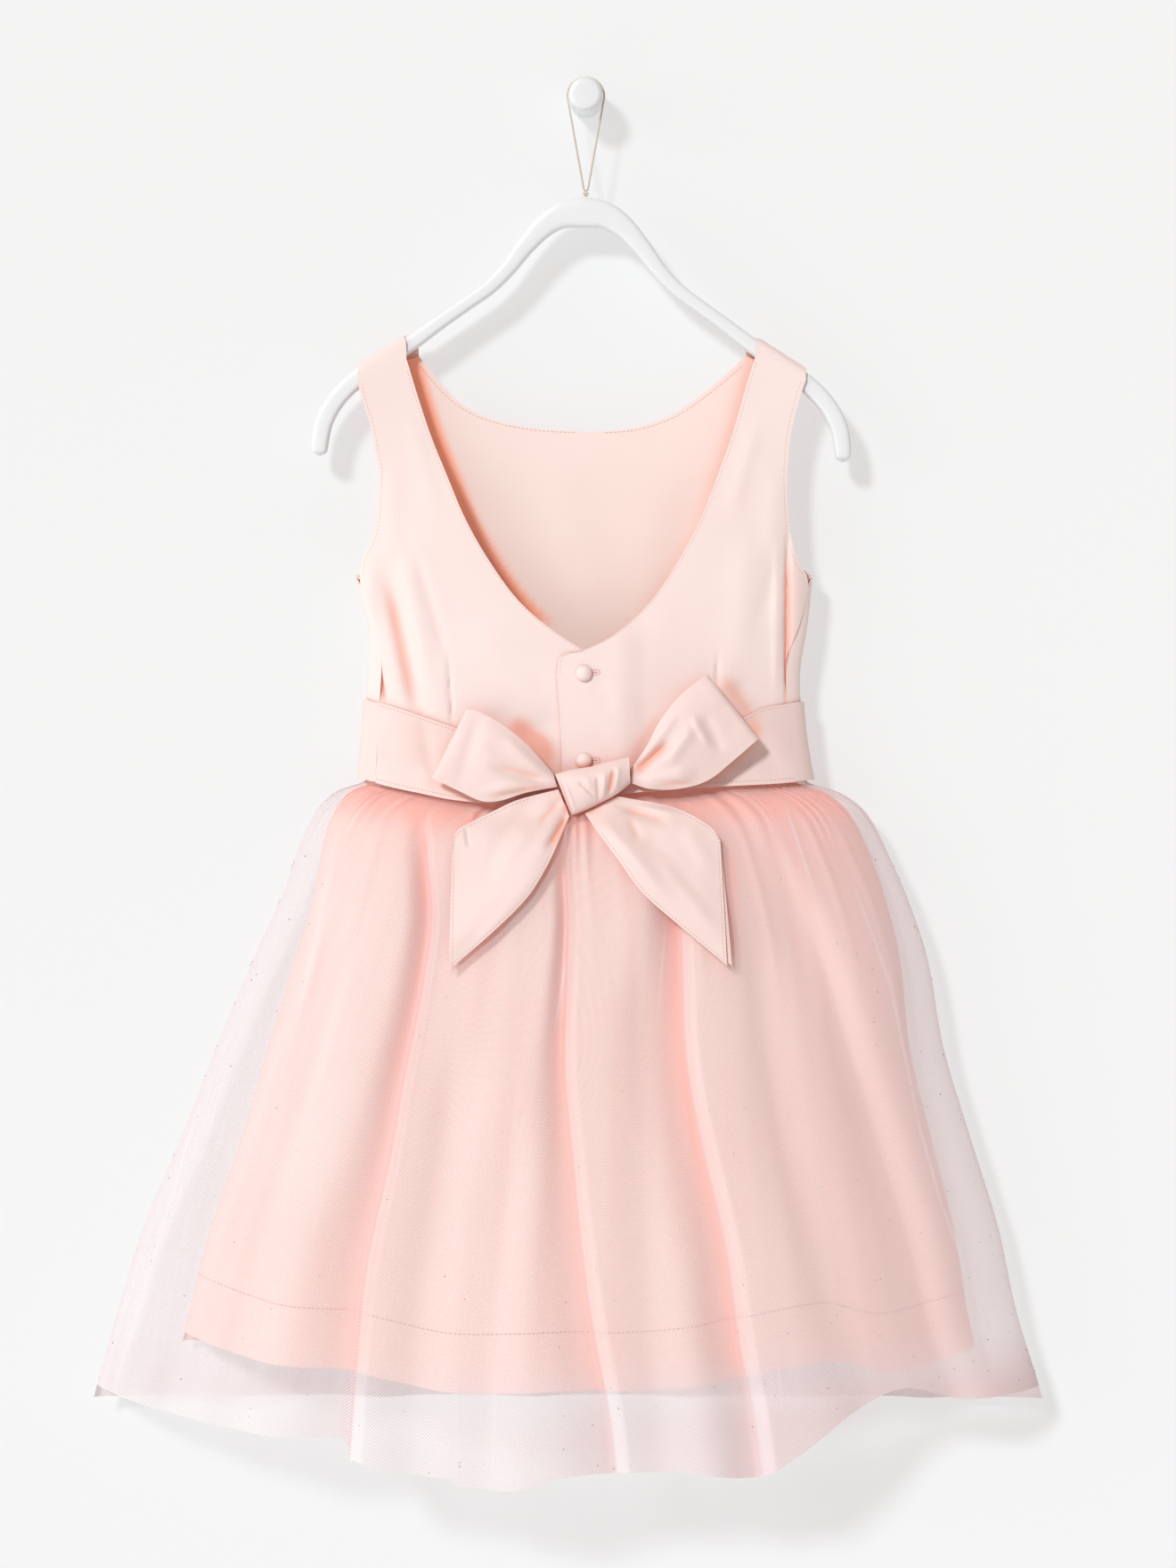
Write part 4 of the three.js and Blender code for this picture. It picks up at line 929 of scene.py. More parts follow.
def add_weave(material):
    """Crossing threads a few tenths of a millimetre apart, over a soft crumple."""
    links, place = material.node_tree.links, cloth_place(material)
    waves = []
    for direction in ("X", "Y"):
        wave = add_node(material, "TexWave", Scale=WEAVE["threads"], Distortion=0.4)
        wave.bands_direction = direction
        links.new(place, wave.inputs["Vector"])
        waves.append(wave.outputs["Fac"])
    weave = add_node(material, "Bump", Strength=WEAVE["strength"], Distance=0.1 * MM)
    crumple = add_node(material, "Bump", Strength=WEAVE["crumple"], Distance=1.2 * MM)
    links.new(maths(material, "ADD", *waves), weave.inputs["Height"])
    links.new(clouds(material, WEAVE["crumple_scale"], 2), crumple.inputs["Height"])
    links.new(weave.outputs["Normal"], crumple.inputs["Normal"])
    links.new(crumple.outputs["Normal"], shader_of(material).inputs["Normal"])


def satin_material(name, colour, other, roughness=0.42, reach=None):
    """Satin with a weave. reach says how near other cloth must lie to paint coral shade on it."""
    material = new_material(name, colour, roughness, 0.25)
    vary_colour(material, colour, other, 9)
    add_weave(material)
    if reach:
        paint_close_shade(material, reach)
    return material


def net_material():
    """Fine net of diamond cells. Its mesh says how close the net is, where it is doubled, and where
    painted shade darkens it.
    """
    colour, other = (0.91, 0.85, 0.87), (0.90, 0.83, 0.86)
    material = new_material("net", colour, 0.8, 0.15)
    vary_colour(material, colour, other, 6)
    # Painted shade, in a darker pink, where the mesh marks it.
    paint_marked_shade(material, (0.74, 0.54, 0.54), 0.9)
    links, place = material.node_tree.links, cloth_place(material)
    cover = mesh_value(material, "cover")
    for lean in (NET_CELLS["lean"], -NET_CELLS["lean"]):
        turned = add_node(material, "Mapping", Rotation=(0, 0, math.radians(lean)))
        wave = add_node(material, "TexWave", Scale=NET_CELLS["scale"])
        share = add_node(material, "MapRange", To_Min=NET_CELLS["least"], To_Max=NET_CELLS["most"])
        links.new(place, turned.inputs["Vector"])
        links.new(turned.outputs["Vector"], wave.inputs["Vector"])
        links.new(wave.outputs["Fac"], share.inputs["Value"])
        cover = maths(material, "MULTIPLY", share.outputs["Result"], cover)
    links.new(cover, shader_of(material).inputs["Alpha"])
    return material


def paint_material():
    """White paint with a fine brushed unevenness."""
    colour, other = (0.84, 0.87, 0.89), (0.82, 0.85, 0.87)
    material = new_material("white_paint", colour, 0.38)
    vary_colour(material, colour, other, 14)
    links = material.node_tree.links
    grain = add_node(material, "Bump", Strength=0.12, Distance=0.4 * MM)
    links.new(clouds(material, 220, 4), grain.inputs["Height"])
    links.new(grain.outputs["Normal"], shader_of(material).inputs["Normal"])
    return material


def thread_material(name, colour, roughness=0.7):
    material = new_material(name, colour, roughness, 0.2)
    vary_colour(material, colour, tuple(c * 0.93 for c in colour), 400)
    return material


# Satin, lining and sash get painted coral shade where cloth lies close; the skirt's satin does not.
SATIN_LOOK = satin_material("dress_satin", (0.94, 0.785, 0.745), (0.95, 0.80, 0.765), reach=18)
LINING_LOOK = satin_material("dress_lining", (0.97, 0.80, 0.745), (0.97, 0.81, 0.755), 0.55, 36)
SASH_LOOK = satin_material("sash_satin", (0.89, 0.705, 0.665), (0.90, 0.72, 0.68), 0.36, 18)
SKIRT_LOOK = satin_material("skirt_satin", (0.97, 0.69, 0.625), (0.97, 0.72, 0.655), 0.5)
# Painted coral shade, with a little painted glow, where each piece's mesh marks it.
paint_marked_shade(SKIRT_LOOK, (0.94, 0.36, 0.27), 0.88, 0.16)
paint_marked_shade(SATIN_LOOK, (0.90, 0.42, 0.32), 0.85, 0.04)
paint_marked_shade(SASH_LOOK, (0.93, 0.42, 0.29), 0.8, 0.06)
paint_marked_shade(LINING_LOOK, (0.93, 0.36, 0.22), 0.95, 0.12)
NET_LOOK = net_material()
PAINT_LOOK = paint_material()
TWINE_LOOK = thread_material("hanging_twine", (0.70, 0.63, 0.54), 0.85)
THREAD_LOOK = thread_material("sewing_thread", (0.78, 0.50, 0.46))
HEM_THREAD = thread_material("hem_thread", (0.60, 0.32, 0.29))
GLITTER_LOOK = new_material("silver_glitter", (0.30, 0.27, 0.29), 0.3)
shader_of(GLITTER_LOOK).inputs["Metallic"].default_value = 0.6


def belongs(piece, slot, *nodes):
    """Puts a piece on the body, in the place of its solids. slot is not used."""
    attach(piece, "root")
    if nodes:
        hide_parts(*nodes)


# Creases of the backs, the front, the sash, the bow and its knot, height under 0 for a trough
CREASES_LEFT = crease_lines(
    (-118.5, -316, -113.5, -342, 1.8, -2.6), (-122, -262, -121, -335, 4, 1.0),
    (-112, -276, -94.5, -350, 4.2, -2.6), (-77, -316, -75, -356, 0.9, -1.0),
    (-103, -262, -85, -344, 4.5, 0.9), (-95, -262, -79, -316, 3.6, -0.8),
    (-82, -318, -81, -352, 5, 0.5), (-96, -250, -84, -330, 9, 0.8),
    (-35, -345, -75, -372, 9, -1.0), (-12, -350, -45, -366, 8, -1.1),
    (-112, -215, -108, -262, 7, 0.7), (-60, -300, -30, -340, 12, 0.5),
    (-98, -185, -84, -236, 5, 0.5), (-113, -262, -100, -300, 5, -0.6),
    (-48, -318, -20, -330, 5, -0.4),
)
CREASES_RIGHT = crease_lines(
    (113.6, -252, 113, -342, 1.6, -2.4), (119, -262, 118, -335, 4, 1.0),
    (107.5, -256, 106.5, -338, 2.4, 0.8), (74, -316, 74, -352, 0.9, -1.0),
    (79, -318, 79, -350, 5, 0.5), (92, -250, 84, -330, 9, 0.8),
    (84, -332, 98, -348, 8, -0.9), (30, -350, 60, -330, 10, -0.6),
    (108, -215, 104, -262, 7, 0.7), (20, -330, 50, -290, 12, 0.5),
    (96, -185, 82, -236, 5, 0.5), (110, -262, 96, -300, 5, -0.6),
    (4, -332, 16, -346, 4, -0.4), (2, -360, 20, -372, 4, -0.5),
)
FRONT_FOLDS = crease_lines(
    (-80, -230, -40, -330, 12, 1.4), (-20, -210, 10, -300, 14, -1.2),
    (60, -220, 40, -330, 12, 1.3), (100, -250, 90, -330, 7, -1.0),
    (-105, -250, -98, -330, 7, -1.0),
)
SASH_CREASES = crease_lines(
    (-112, -350, -96, -378, 6, 0.7), (-92, -352, -84, -390, 4, -0.7),
    (-120, -372, -92, -384, 5, -0.5), (-70, -372, -84, -392, 5, -0.7),
    (100, -350, 112, -374, 7, 0.7), (96, -366, 110, -384, 5, -0.6),
    (78, -362, 92, -380, 5, -0.8), (60, -380, 84, -386, 4, -0.5),
)
BOW_CREASES = {
    "bow_loop_left": crease_lines(
        (-22, -386.5, -52, -379, 3.6, -2.6), (-22, -388.5, -58, -393, 3, 1.4),
        (-24, -383, -44, -364, 3, 0.9), (-28, -384, -56, -366, 4, -0.9),
        (-60, -352, -70, -388, 4, -0.8), (-30, -390.5, -50, -395.5, 1.6, -0.8),
    ),
    "bow_loop_right": crease_lines(
        (28, -381.8, 47, -365, 3.0, -4.6), (30, -377, 50, -350, 2.6, 1.2),
        (32, -389, 60, -382, 4.2, 2.2), (46, -376, 60, -357, 3.4, 1.6),
        (60, -352, 68, -366, 1.8, 1.3), (66, -350, 76, -371, 3.4, -1.3),
        (38, -386.5, 58, -388.5, 1.4, -0.7), (74, -344, 86, -360, 6, -0.7),
    ),
    "bow_tail_left": crease_lines(
        (-11, -408, -21, -424, 2.4, -2.8), (-7, -411, -17, -430, 1.4, 1.2),
        (-66.5, -414, -65.5, -424, 1.2, -0.9), (-20, -398, -50, -436, 5, 1.2),
        (-34, -402, -58, -446, 5, -0.8), (-24, -436, -62, -480, 4, 0.8),
        (-14, -398, -26, -412, 2.4, -1.0),
    ),
    "bow_tail_right": crease_lines(
        (20, -399.5, 50, -405, 1.6, 1.2), (22, -403, 46, -410, 2.6, -1.4),
        (24, -408, 30, -420, 3, -1.0), (10, -410, 42, -448, 4, 1.0),
        (30, -414, 62, -452, 6, -0.9), (40, -428, 72, -470, 4, 0.8),
        (56, -412, 70, -440, 5, 0.6),
    ),
}
KNOT_PLEATS = crease_lines(
    (6.5, -385, 7.2, -398, 1.1, -1.5), (15.6, -381, 13, -394, 1.2, -2.4),
    (10.6, -382, 9.6, -397, 1.5, 1.1), (18.5, -379, 17, -391, 1.5, 0.8),
    (-4, -387, 5, -396, 1.1, -0.9), (-2, -391.5, 4.5, -396, 0.9, 0.7),
    (-14.4, -386, -6.4, -406.5, 0.5, -0.7), (-13, -384, -4.8, -405.5, 0.7, 0.5),
    (0, -384, 3, -392, 2, 0.5), (-8, -390, -2, -402, 3, -0.5),
)
# Painted coral shadows: lines on the cloth in strength 0 to 1, on the backs, on the sash, on the
# underskirt, and on the bow itself
PAINTED_SHADOWS_BACK = crease_lines(
    (-42, -352, -19, -375, 6.5, 1.0), (-30, -362, -20, -384, 8, 0.5),
    (77, -328, 93, -352, 5, 0.6), (25, -374, 42, -348, 3.5, 0.4),
    (-117, -320, -113, -344, 1.8, 0.9), (-111.5, -276, -95, -350, 4, 0.72),
    (-95, -262, -79, -316, 3, 0.2), (-96, -348, -80, -354, 3, 0.35),
    (113, -258, 113, -342, 1.8, 0.7), (117, -256, 115, -340, 3.5, 0.4),
)
PAINTED_SHADOWS_SASH = crease_lines(
    (92, -350, 98, -361, 4.5, 0.45), (97, -359, 62, -388, 7, 0.7), (-100, -352, -90, -376, 9, 0.2),
    (-86, -388, -50, -399, 3, 0.5),
)
PAINTED_SHADOWS_SKIRT = crease_lines(
    (-72, -494, -12, -424, 5, 0.6), (80, -424, 83, -490, 3.5, 0.6), (12, -424, 78, -494, 4, 0.4),
    (-78, -394, -30, -402, 5, 0.5),
)
PAINTED_SHADOWS_BOW = crease_lines(
    (-11, -406, -20, -424, 2.6, 0.9), (-24, -385, -50, -378, 2.2, 0.5),
    (-22, -389, -56, -395, 1.8, 0.5), (27, -382, 46, -365, 2.6, 0.8),
    (40, -388.5, 62, -387.5, 1.8, 0.5), (15, -381, 13, -395, 1.3, 0.7),
    (-15, -384, -7, -407, 0.8, 0.6), (21, -403, 46, -409, 2, 0.5),
    (24, -408, 30, -420, 2.5, 0.4), (-15, -399, -27, -411, 2, 0.5),
)
# Lines where edges of the net lie over each other
NET_LINES = crease_lines(
    (106.25, -712, 113.75, -773.5, 0.9, 0.2), (101, -712, 105, -773, 5, 0.12),
    (-72, -720, -72, -778, 0.8, 0.2), (-50, -720, -52, -782, 0.8, 0.15),
    (151, -448, 171, -502, 0.9, 0.18), (171, -502, 186, -578, 0.9, 0.18),
    (186, -578, 198, -621, 0.9, 0.18), (198, -621, 226, -698, 0.9, 0.16),
    (-220, -577, -240, -646, 0.9, 0.14), (-240, -646, -264, -726, 0.9, 0.14),
    (-11, -486, -17, -524, 0.9, 0.2), (112, -401, 127, -446, 0.8, 0.25),
    (45, -461, 40, -520, 0.9, 0.15), (-150, -470, -176, -580, 1, 0.12),
    (-140, -420, -160, -520, 3, 0.08), (60, -420, 64, -560, 3, 0.06),
)

# Rows and columns of the pieces' grids
GRIDS = {"back": (150, 84), "front": (90, 44), "lining": (110, 60), "sash": (110, 40),
         "sash_front": (160, 24), "loop": (120, 46), "tail": (90, 50)}
SKIRT_GRIDS = {"satin": {-1: (120, 230), 1: (80, 120)}, "net": {-1: (190, 500), 1: (110, 170)}}

# Stitch lines: how far inside an edge they lie, and the rows of the cloth that they run along
EDGE_INSET, SEAM_INSET, NECK_INSET = 1.6, 2.2, 3.2
V_ROWS, ARMHOLE_ROWS, NECK_ROWS = slice(38, -18), slice(62, -18), slice(69, -2)
LOOP_ROWS, TAIL_ROWS = slice(56), slice(14, None)

# Specks of glitter on the net, at the back (-1) and the front (1)
SPECKS = {-1: 170, 1: 90}
STREAKS = 14  # waves across the net that make it a little streaky
# What adds to the net's cover and to its painted shade, each as a share of all; both grow towards
# the right and the hem, so that the net looks darker there
COVER = {"flat": 0.29, "steep": 0.36, "streak": 0.012, "fold": 0.08, "edge": 0.3, "gathers": -0.1,
         "right": 0.12, "hem": 0.22, "hem_right": 0.34}
NET_PAINTED_SHADE = {"fold": 0.5, "top": 0.08, "right": 0.3, "hem": 0.2, "hem_right": 0.3, "left_end": -0.1}

BUTTONHOLE = {"from": 2.5, "to": 8.6, "middle": 5.6, "half": 3.4, "up": 0.5, "tall": 1.5}
HANGER_CORNER, HANGER_END = 0.45, 0.985
PLIES = {"count": 3, "radius": 0.32, "out": 0.28, "lay": 3.2, "sides": 6}
TWINE_KNOT = {"below": 1.3, "wide": 0.5, "deep": 0.45, "high": 0.32, "radius": 0.42}
PEG_GAP = 0.3  # between the peg and the twine round it

STAGE = {"far": 3000, "wall_y": 0.5, "floor_z": -1300}
LIGHTS = (("softbox", 1.85, 9, (12, 24, -13)), ("window", 0.6, 40, (28, 12, -3)))
VIEW = {"x": 1.25, "y": -40, "z": -388.5, "distance": 3000, "height": 880, "sensor": 36}


# Pieces

def painted_shadow_values(grid, places):
    """Values of a mesh that say where painted coral shadow lies on it."""
    return {"painted_shade": np.clip(crease_height(grid, places), 0, 1)}


def add_backs():
    """The two sides of the open back. The right one laps over the left one."""
    left = back_panel(BACK_LEFT, LEFT_STRAP, *GRIDS["back"])
    right = back_panel(BACK_RIGHT, RIGHT_STRAP, *GRIDS["back"])
    o = OVERLAP
    over = 1 - smooth(right[..., 0], o["edge"], o["edge"] + o["fade"])
    right[..., 1] -= o["lift"] * over * (1 - smooth(right[..., 2], o["full"], o["none"]))
    sewn = []
    for name, grid, lines in (("bodice_back_left", left, CREASES_LEFT),
                              ("bodice_back_right", right, CREASES_RIGHT)):
        grid = pushed(grid, -1, crease_height(grid, lines))
        piece = cloth(name + "_cloth", [grid], SATIN_LOOK, SATIN, values=painted_shadow_values(grid, PAINTED_SHADOWS_BACK))
        belongs(piece, "satin", name)
        sewn.append(cut(inside(grid, EDGE_INSET, last=True), V_ROWS))
        sewn.append(cut(inside(grid, SEAM_INSET), ARMHOLE_ROWS))
    belongs(stitches("bodice_edge_stitches", sewn, THREAD_LOOK), "satin")


def add_front():
    halves = []
    for strap, edge in ((LEFT_STRAP, "left"), (RIGHT_STRAP, "right")):
        half = front_half(strap, edge, *GRIDS["front"], True)
        halves.append(pushed(half, 1, crease_height(half, FRONT_FOLDS)))
    piece = cloth("bodice_front_cloth", halves, SATIN_LOOK, SATIN, 1)
    belongs(piece, "satin", "bodice_front")


def add_lining():
    """The front's lining, which shows through the open back, with painted shade near its edges."""
    halves, sewn = [], []
    for strap, edge in ((LEFT_STRAP, "left"), (RIGHT_STRAP, "right")):
        half = front_half(strap, edge, *GRIDS["lining"], False)
        half = pushed(half, 1, crease_height(half, FRONT_FOLDS) - LINING_IN)
        halves.append(half)
        sewn.append(cut(inside(half, NECK_INSET, last=True), NECK_ROWS))
    points = np.concatenate([half.reshape(-1, 3) for half in halves])
    # Painted shadow: a band along the V's left edge, as cast by the left back, and fainter shade by
    # its right edge.
    from_left = points[:, 0] - along(BACK_LEFT, "high", "inner", points[:, 2])
    from_right = along(BACK_RIGHT, "high", "inner", points[:, 2]) - points[:, 0]
    shade = smooth(from_left, -30, -2) * (1 - smooth(from_left, 3, 12))
    shade = shade * smooth(points[:, 2], -304, -290)
    shade = shade + 0.25 * smooth(from_right, -30, 0) * (1 - smooth(from_right, 0, 12))
    piece = cloth("bodice_lining_cloth", halves, LINING_LOOK, LINING, values={"painted_shade": shade})
    belongs(piece, "lining", "bodice_lining")
    belongs(stitches("neck_edge_stitches", sewn, THREAD_LOOK), "lining")


def add_sash():
    """The sash round the waist. Gives the lines that are sewn along its edges."""
    sewn = []
    for name, rows, length, area in (("sash_back_left", SASH_LEFT, 0.112, 0.0044),
                                     ("sash_back_right", SASH_RIGHT, 0.1, 0.0038)):
        grid = sash_back(rows, *GRIDS["sash"])
        grid = pushed(grid, -1, crease_height(grid, SASH_CREASES))
        piece = cloth(name + "_cloth", [grid], SASH_LOOK, SATIN, values=painted_shadow_values(grid, PAINTED_SHADOWS_SASH))
        belongs(piece, "sash_satin", name)
        sewn += [inside(grid, EDGE_INSET), inside(grid, SEAM_INSET, last=True)]
    grid = sash_front(*GRIDS["sash_front"])
    front = cloth("sash_front_cloth", [grid], SASH_LOOK, SATIN, 1)
    belongs(front, "sash_satin", "sash_front")
    return sewn


def second_layer(grid):
    """The end of the right tail's hidden layer, where it shows beyond the upper one."""
    under = grid[-8:].copy()
    under[..., 0] += np.linspace(0.2, 2.8, under.shape[1])
    under[..., 1] += 1.5
    return under


def add_bow(sewn):
    """The loops and tails, and the stitches of the whole sash."""
    for name, rows, length in (("bow_loop_left", BOW_LEFT, 0.13),
                               ("bow_loop_right", BOW_RIGHT, 0.15)):
        grid = bow_loop(rows, *GRIDS["loop"])
        front = smooth(-grid[..., 1], *LOOP_FRONT)
        grid[..., 1] -= crease_height(grid, BOW_CREASES[name]) * front
        piece = cloth(name + "_cloth", [grid], SASH_LOOK, SATIN, values=painted_shadow_values(grid, PAINTED_SHADOWS_BOW))
        belongs(piece, "sash_satin", name)
        sewn += [cut(inside(grid, EDGE_INSET, last=end), LOOP_ROWS) for end in (False, True)]
    for name, rows in (("bow_tail_left", TAIL_LEFT), ("bow_tail_right", TAIL_RIGHT)):
        grid = bow_tail(rows, *GRIDS["tail"])
        grid[..., 1] -= crease_height(grid, BOW_CREASES[name])
        grids = [grid, second_layer(grid)] if name == "bow_tail_right" else [grid]
        points = np.concatenate([g.reshape(-1, 3) for g in grids])[:, None]
        piece = cloth(name + "_cloth", grids, SASH_LOOK, SATIN, merge=False,
                      values=painted_shadow_values(points, PAINTED_SHADOWS_BOW))
        belongs(piece, "sash_satin", name)
        sewn += [cut(inside(grid, EDGE_INSET, last=end), TAIL_ROWS) for end in (False, True)]
        sewn.append(inside(grid, SEAM_INSET, last=True, axis=0))
    belongs(stitches("sash_stitches", sewn, THREAD_LOOK), "sash_satin")


def add_knot():
    """The padded knot, as rings of points from its left end to its right end."""
    sides, rows = 96, 80
    place = {**KNOT, "row": np.arange(float(len(KNOT["depth"])))}
    at = np.linspace(0, place["row"][-1], rows)
    k = {n: along(place, "row", n, at)[:, None] for n in KNOT}
    a = ring(sides)
    share = (1 - np.cos(a)) / 2
    x, z = mix(k["topX"], k["lowX"], share), mix(k["topZ"], k["lowZ"], share)
    grid = np.stack([x, KNOT_Y - k["depth"] / 2 * np.sin(a), z], -1)
    grid[..., 1] -= crease_height(grid, KNOT_PLEATS) * np.clip(np.sin(a), 0, 1) ** 0.5
    points = grid.reshape(-1, 3)
    piece = new_mesh("bow_knot_cloth", points, tube_faces(rows, sides, [0, 3, 2, 1]), SASH_LOOK,
                     points[:, [0, 2]], painted_shadow_values(points[:, None], PAINTED_SHADOWS_BOW))
    belongs(piece, "sash_satin", "bow_knot")


def add_underskirt(side, end):
    """The satin layer at the back or front. Gives the line of its hem's stitches."""
    grid, drop, painted_shade, place = skirt_grid(side, "satin", *SKIRT_GRIDS["satin"][side])
    # Painted shade: in the deep folds, under the sash, under the bow's tails on the back, and
    # growing towards the right.
    shade_in_folds = mix(0.65, 1, smooth(drop, 260, 120)) * np.clip(painted_shade, 0, 1)
    shade_under_sash = 0.3 * smooth(drop, 90, 0) + 0.5 * smooth(drop, 26, 6)
    shadow_under_bow = crease_height(grid, PAINTED_SHADOWS_SKIRT) if side < 0 else 0
    painted_shade_amount = shade_in_folds + shade_under_sash + shadow_under_bow + 0.25 * smooth(place, 0.1, 0.9)
    name = f"underskirt_{end}"
    piece = cloth(name + "_cloth", [grid], SKIRT_LOOK, SKIRT_SATIN, side,
                  values={"painted_shade": np.clip(painted_shade_amount, 0, 1)})
    belongs(piece, "skirt_satin", name)
    normal = outward(grid, side)[STITCHED_ROW]
    return grid[STITCHED_ROW] + normal * 0.4, normal


def net_values(grid, drop, painted_shade, place, side):
    """How close the net lies and how much painted shade darkens it, at each of its points."""
    back = side < 0
    steep = 1 - np.abs(outward(grid, side)[..., 1])
    deep = np.clip(painted_shade, 0, 1)
    right = smooth(place, 0.1, 0.9) if back else 0.5
    to_right = smooth(place, -0.9, 0.7) if back else 0.5
    streaks = 0.0
    for _ in range(STREAKS):
        height, pace, start = rng.uniform(0.3, 1), rng.uniform(20, 120), rng.uniform(0, 6.3)
        streaks = streaks + height * np.sin(place * pace + start)
    lines = crease_height(grid, NET_LINES) if back else 0.0
    edges = 0.0
    for name in DEEP_MM if back else ():
        off = place - along(DEEP, "drop", name, drop)
        shown = smooth(drop, 0, 20) * (1 - 0.6 * smooth(drop, 250, 330))
        edges = edges + bump(off + 0.001, 0.0026) * shown
    below = smooth(drop, 300, 350)
    c, w = COVER, NET_PAINTED_SHADE
    cover = c["flat"] + c["steep"] * steep ** 1.3 + c["streak"] * streaks + c["fold"] * deep
    cover = cover + lines + c["edge"] * edges + c["gathers"] * smooth(drop, 20, 4)
    cover = cover + c["right"] * right + (c["hem"] + c["hem_right"] * to_right) * below
    # Painted shade: in the deep folds, under the sash, towards the right and near the hem, less at
    # the hem's left end. Along the fold edges the net lies doubled, which darkens it too.
    painted_shade_amount = w["fold"] * deep + w["top"] * smooth(drop, 70, 0) + w["right"] * right + edges
    painted_shade_amount = painted_shade_amount + (w["hem"] + w["hem_right"] * to_right) * below
    painted_shade_amount = painted_shade_amount + w["left_end"] * smooth(place, -0.75, -0.95) * below
    return {"cover": np.clip(cover, 0.05, 0.95), "painted_shade": np.clip(painted_shade_amount, 0, 1)}


def glitter_places(grid, normal, place, drop, count):
    """Seeded places on the net, thicker at its sides and near its hem."""
    chance = 0.15 + 0.5 * np.abs(place) ** 3 + 0.5 * smooth(drop, 250, 370)
    chance = (chance * (drop > 40)).ravel()
    picked = rng.choice(chance.size, count, replace=False, p=chance / chance.sum())
    return grid.reshape(-1, 3)[picked] + 0.25 * normal.reshape(-1, 3)[picked]


def add_overskirt(side, end):
    """The net layer at the back or front. Gives the places of its glitter."""
    grid, drop, painted_shade, place = skirt_grid(side, "net", *SKIRT_GRIDS["net"][side])
    values = net_values(grid, drop, painted_shade, place, side)
    name = f"overskirt_{end}"
    piece = cloth(name + "_net", [grid], NET_LOOK, 0, side, values=values)
    belongs(piece, "net", name)
    return glitter_places(grid, outward(grid, side), place, drop, SPECKS[side])


def add_glitter(places):
    """Small flat six-sided specks, joined as one mesh."""
    points, faces = [], []
    for at in np.concatenate(places):
        size, tilt = rng.uniform(0.22, 0.42), rng.uniform(-0.5, 0.5)
        faces.append([len(points) + k for k in range(6)])
        for k in range(6):
            a = k * math.pi / 3 + tilt
            flat = np.array([math.cos(a), tilt * math.sin(a), math.sin(a)]) * size
            points.append(at + flat)
    belongs(new_mesh("net_glitter", np.array(points), faces, GLITTER_LOOK), "net")


def add_skirts():
    sewn, specks = [], []
    for side, end in ((-1, "back"), (1, "front")):
        sewn.append(add_underskirt(side, end))
        specks.append(add_overskirt(side, end))
    belongs(stitches("underskirt_hem_stitches", sewn, HEM_THREAD), "skirt_satin")
    add_glitter(specks)


def add_buttons():
    """Covered domed buttons on the lap."""
    turn = np.linspace(0, math.pi / 2, 14)
    r = np.concatenate([[0.01, 4.2], BUTTON["radius"] * np.cos(turn)])
    h = np.concatenate([[0, 0], 0.6 + (BUTTON["height"] - 0.6) * np.sin(turn)])
    a = np.linspace(0, 2 * math.pi, 49)
    x = BUTTON["x"] + r[:, None] * np.cos(a)
    for name, z in zip(("button_top", "button_bottom"), BUTTON["rows"]):
        surface = float(bodice_point(0.0, z)[1]) - OVERLAP["lift"] - SATIN / 2 - 0.3
        grid = np.stack([x, surface - h[:, None] + 0 * x, z + r[:, None] * np.sin(a)], -1)
        piece = cloth(name + "_cover", [grid], SATIN_LOOK, 0)
        weld(piece, 0.03)
        belongs(piece, "satin", name)


def add_buttonholes():
    """Sewn rims, and dark capsules in the slits as painted shade, level, to the right of each
    button's middle.
    """
    b, slits, sewn = BUTTONHOLE, [], []
    a = np.linspace(0, 2 * math.pi, 33)
    for z in BUTTON["rows"]:
        y = float(bodice_point(0.0, z)[1]) - OVERLAP["lift"]
        x = BUTTON["x"] + b["middle"] + b["half"] * np.cos(a)
        up = z + b["up"] + (b["tall"] + 0.3 * np.cos(a)) * np.sin(a)
        rim = np.stack([x, y + 0 * a, up], -1)
        slit = np.array([[BUTTON["x"] + b[end], y, z + b["up"]] for end in ("from", "to")])
        sewn.append((rim, np.tile([0.0, -1.0, 0.0], (len(rim), 1))))
        slits.append((slit, np.tile([0.0, -1.0, 0.0], (len(slit), 1))))
    belongs(stitches("buttonhole_stitches", sewn, THREAD_LOOK), "satin")
    # Painted shade: each slit is a dark capsule that stands for the shade inside it.
    belongs(stitches("buttonhole_slit_shade", slits, HEM_THREAD), "satin")


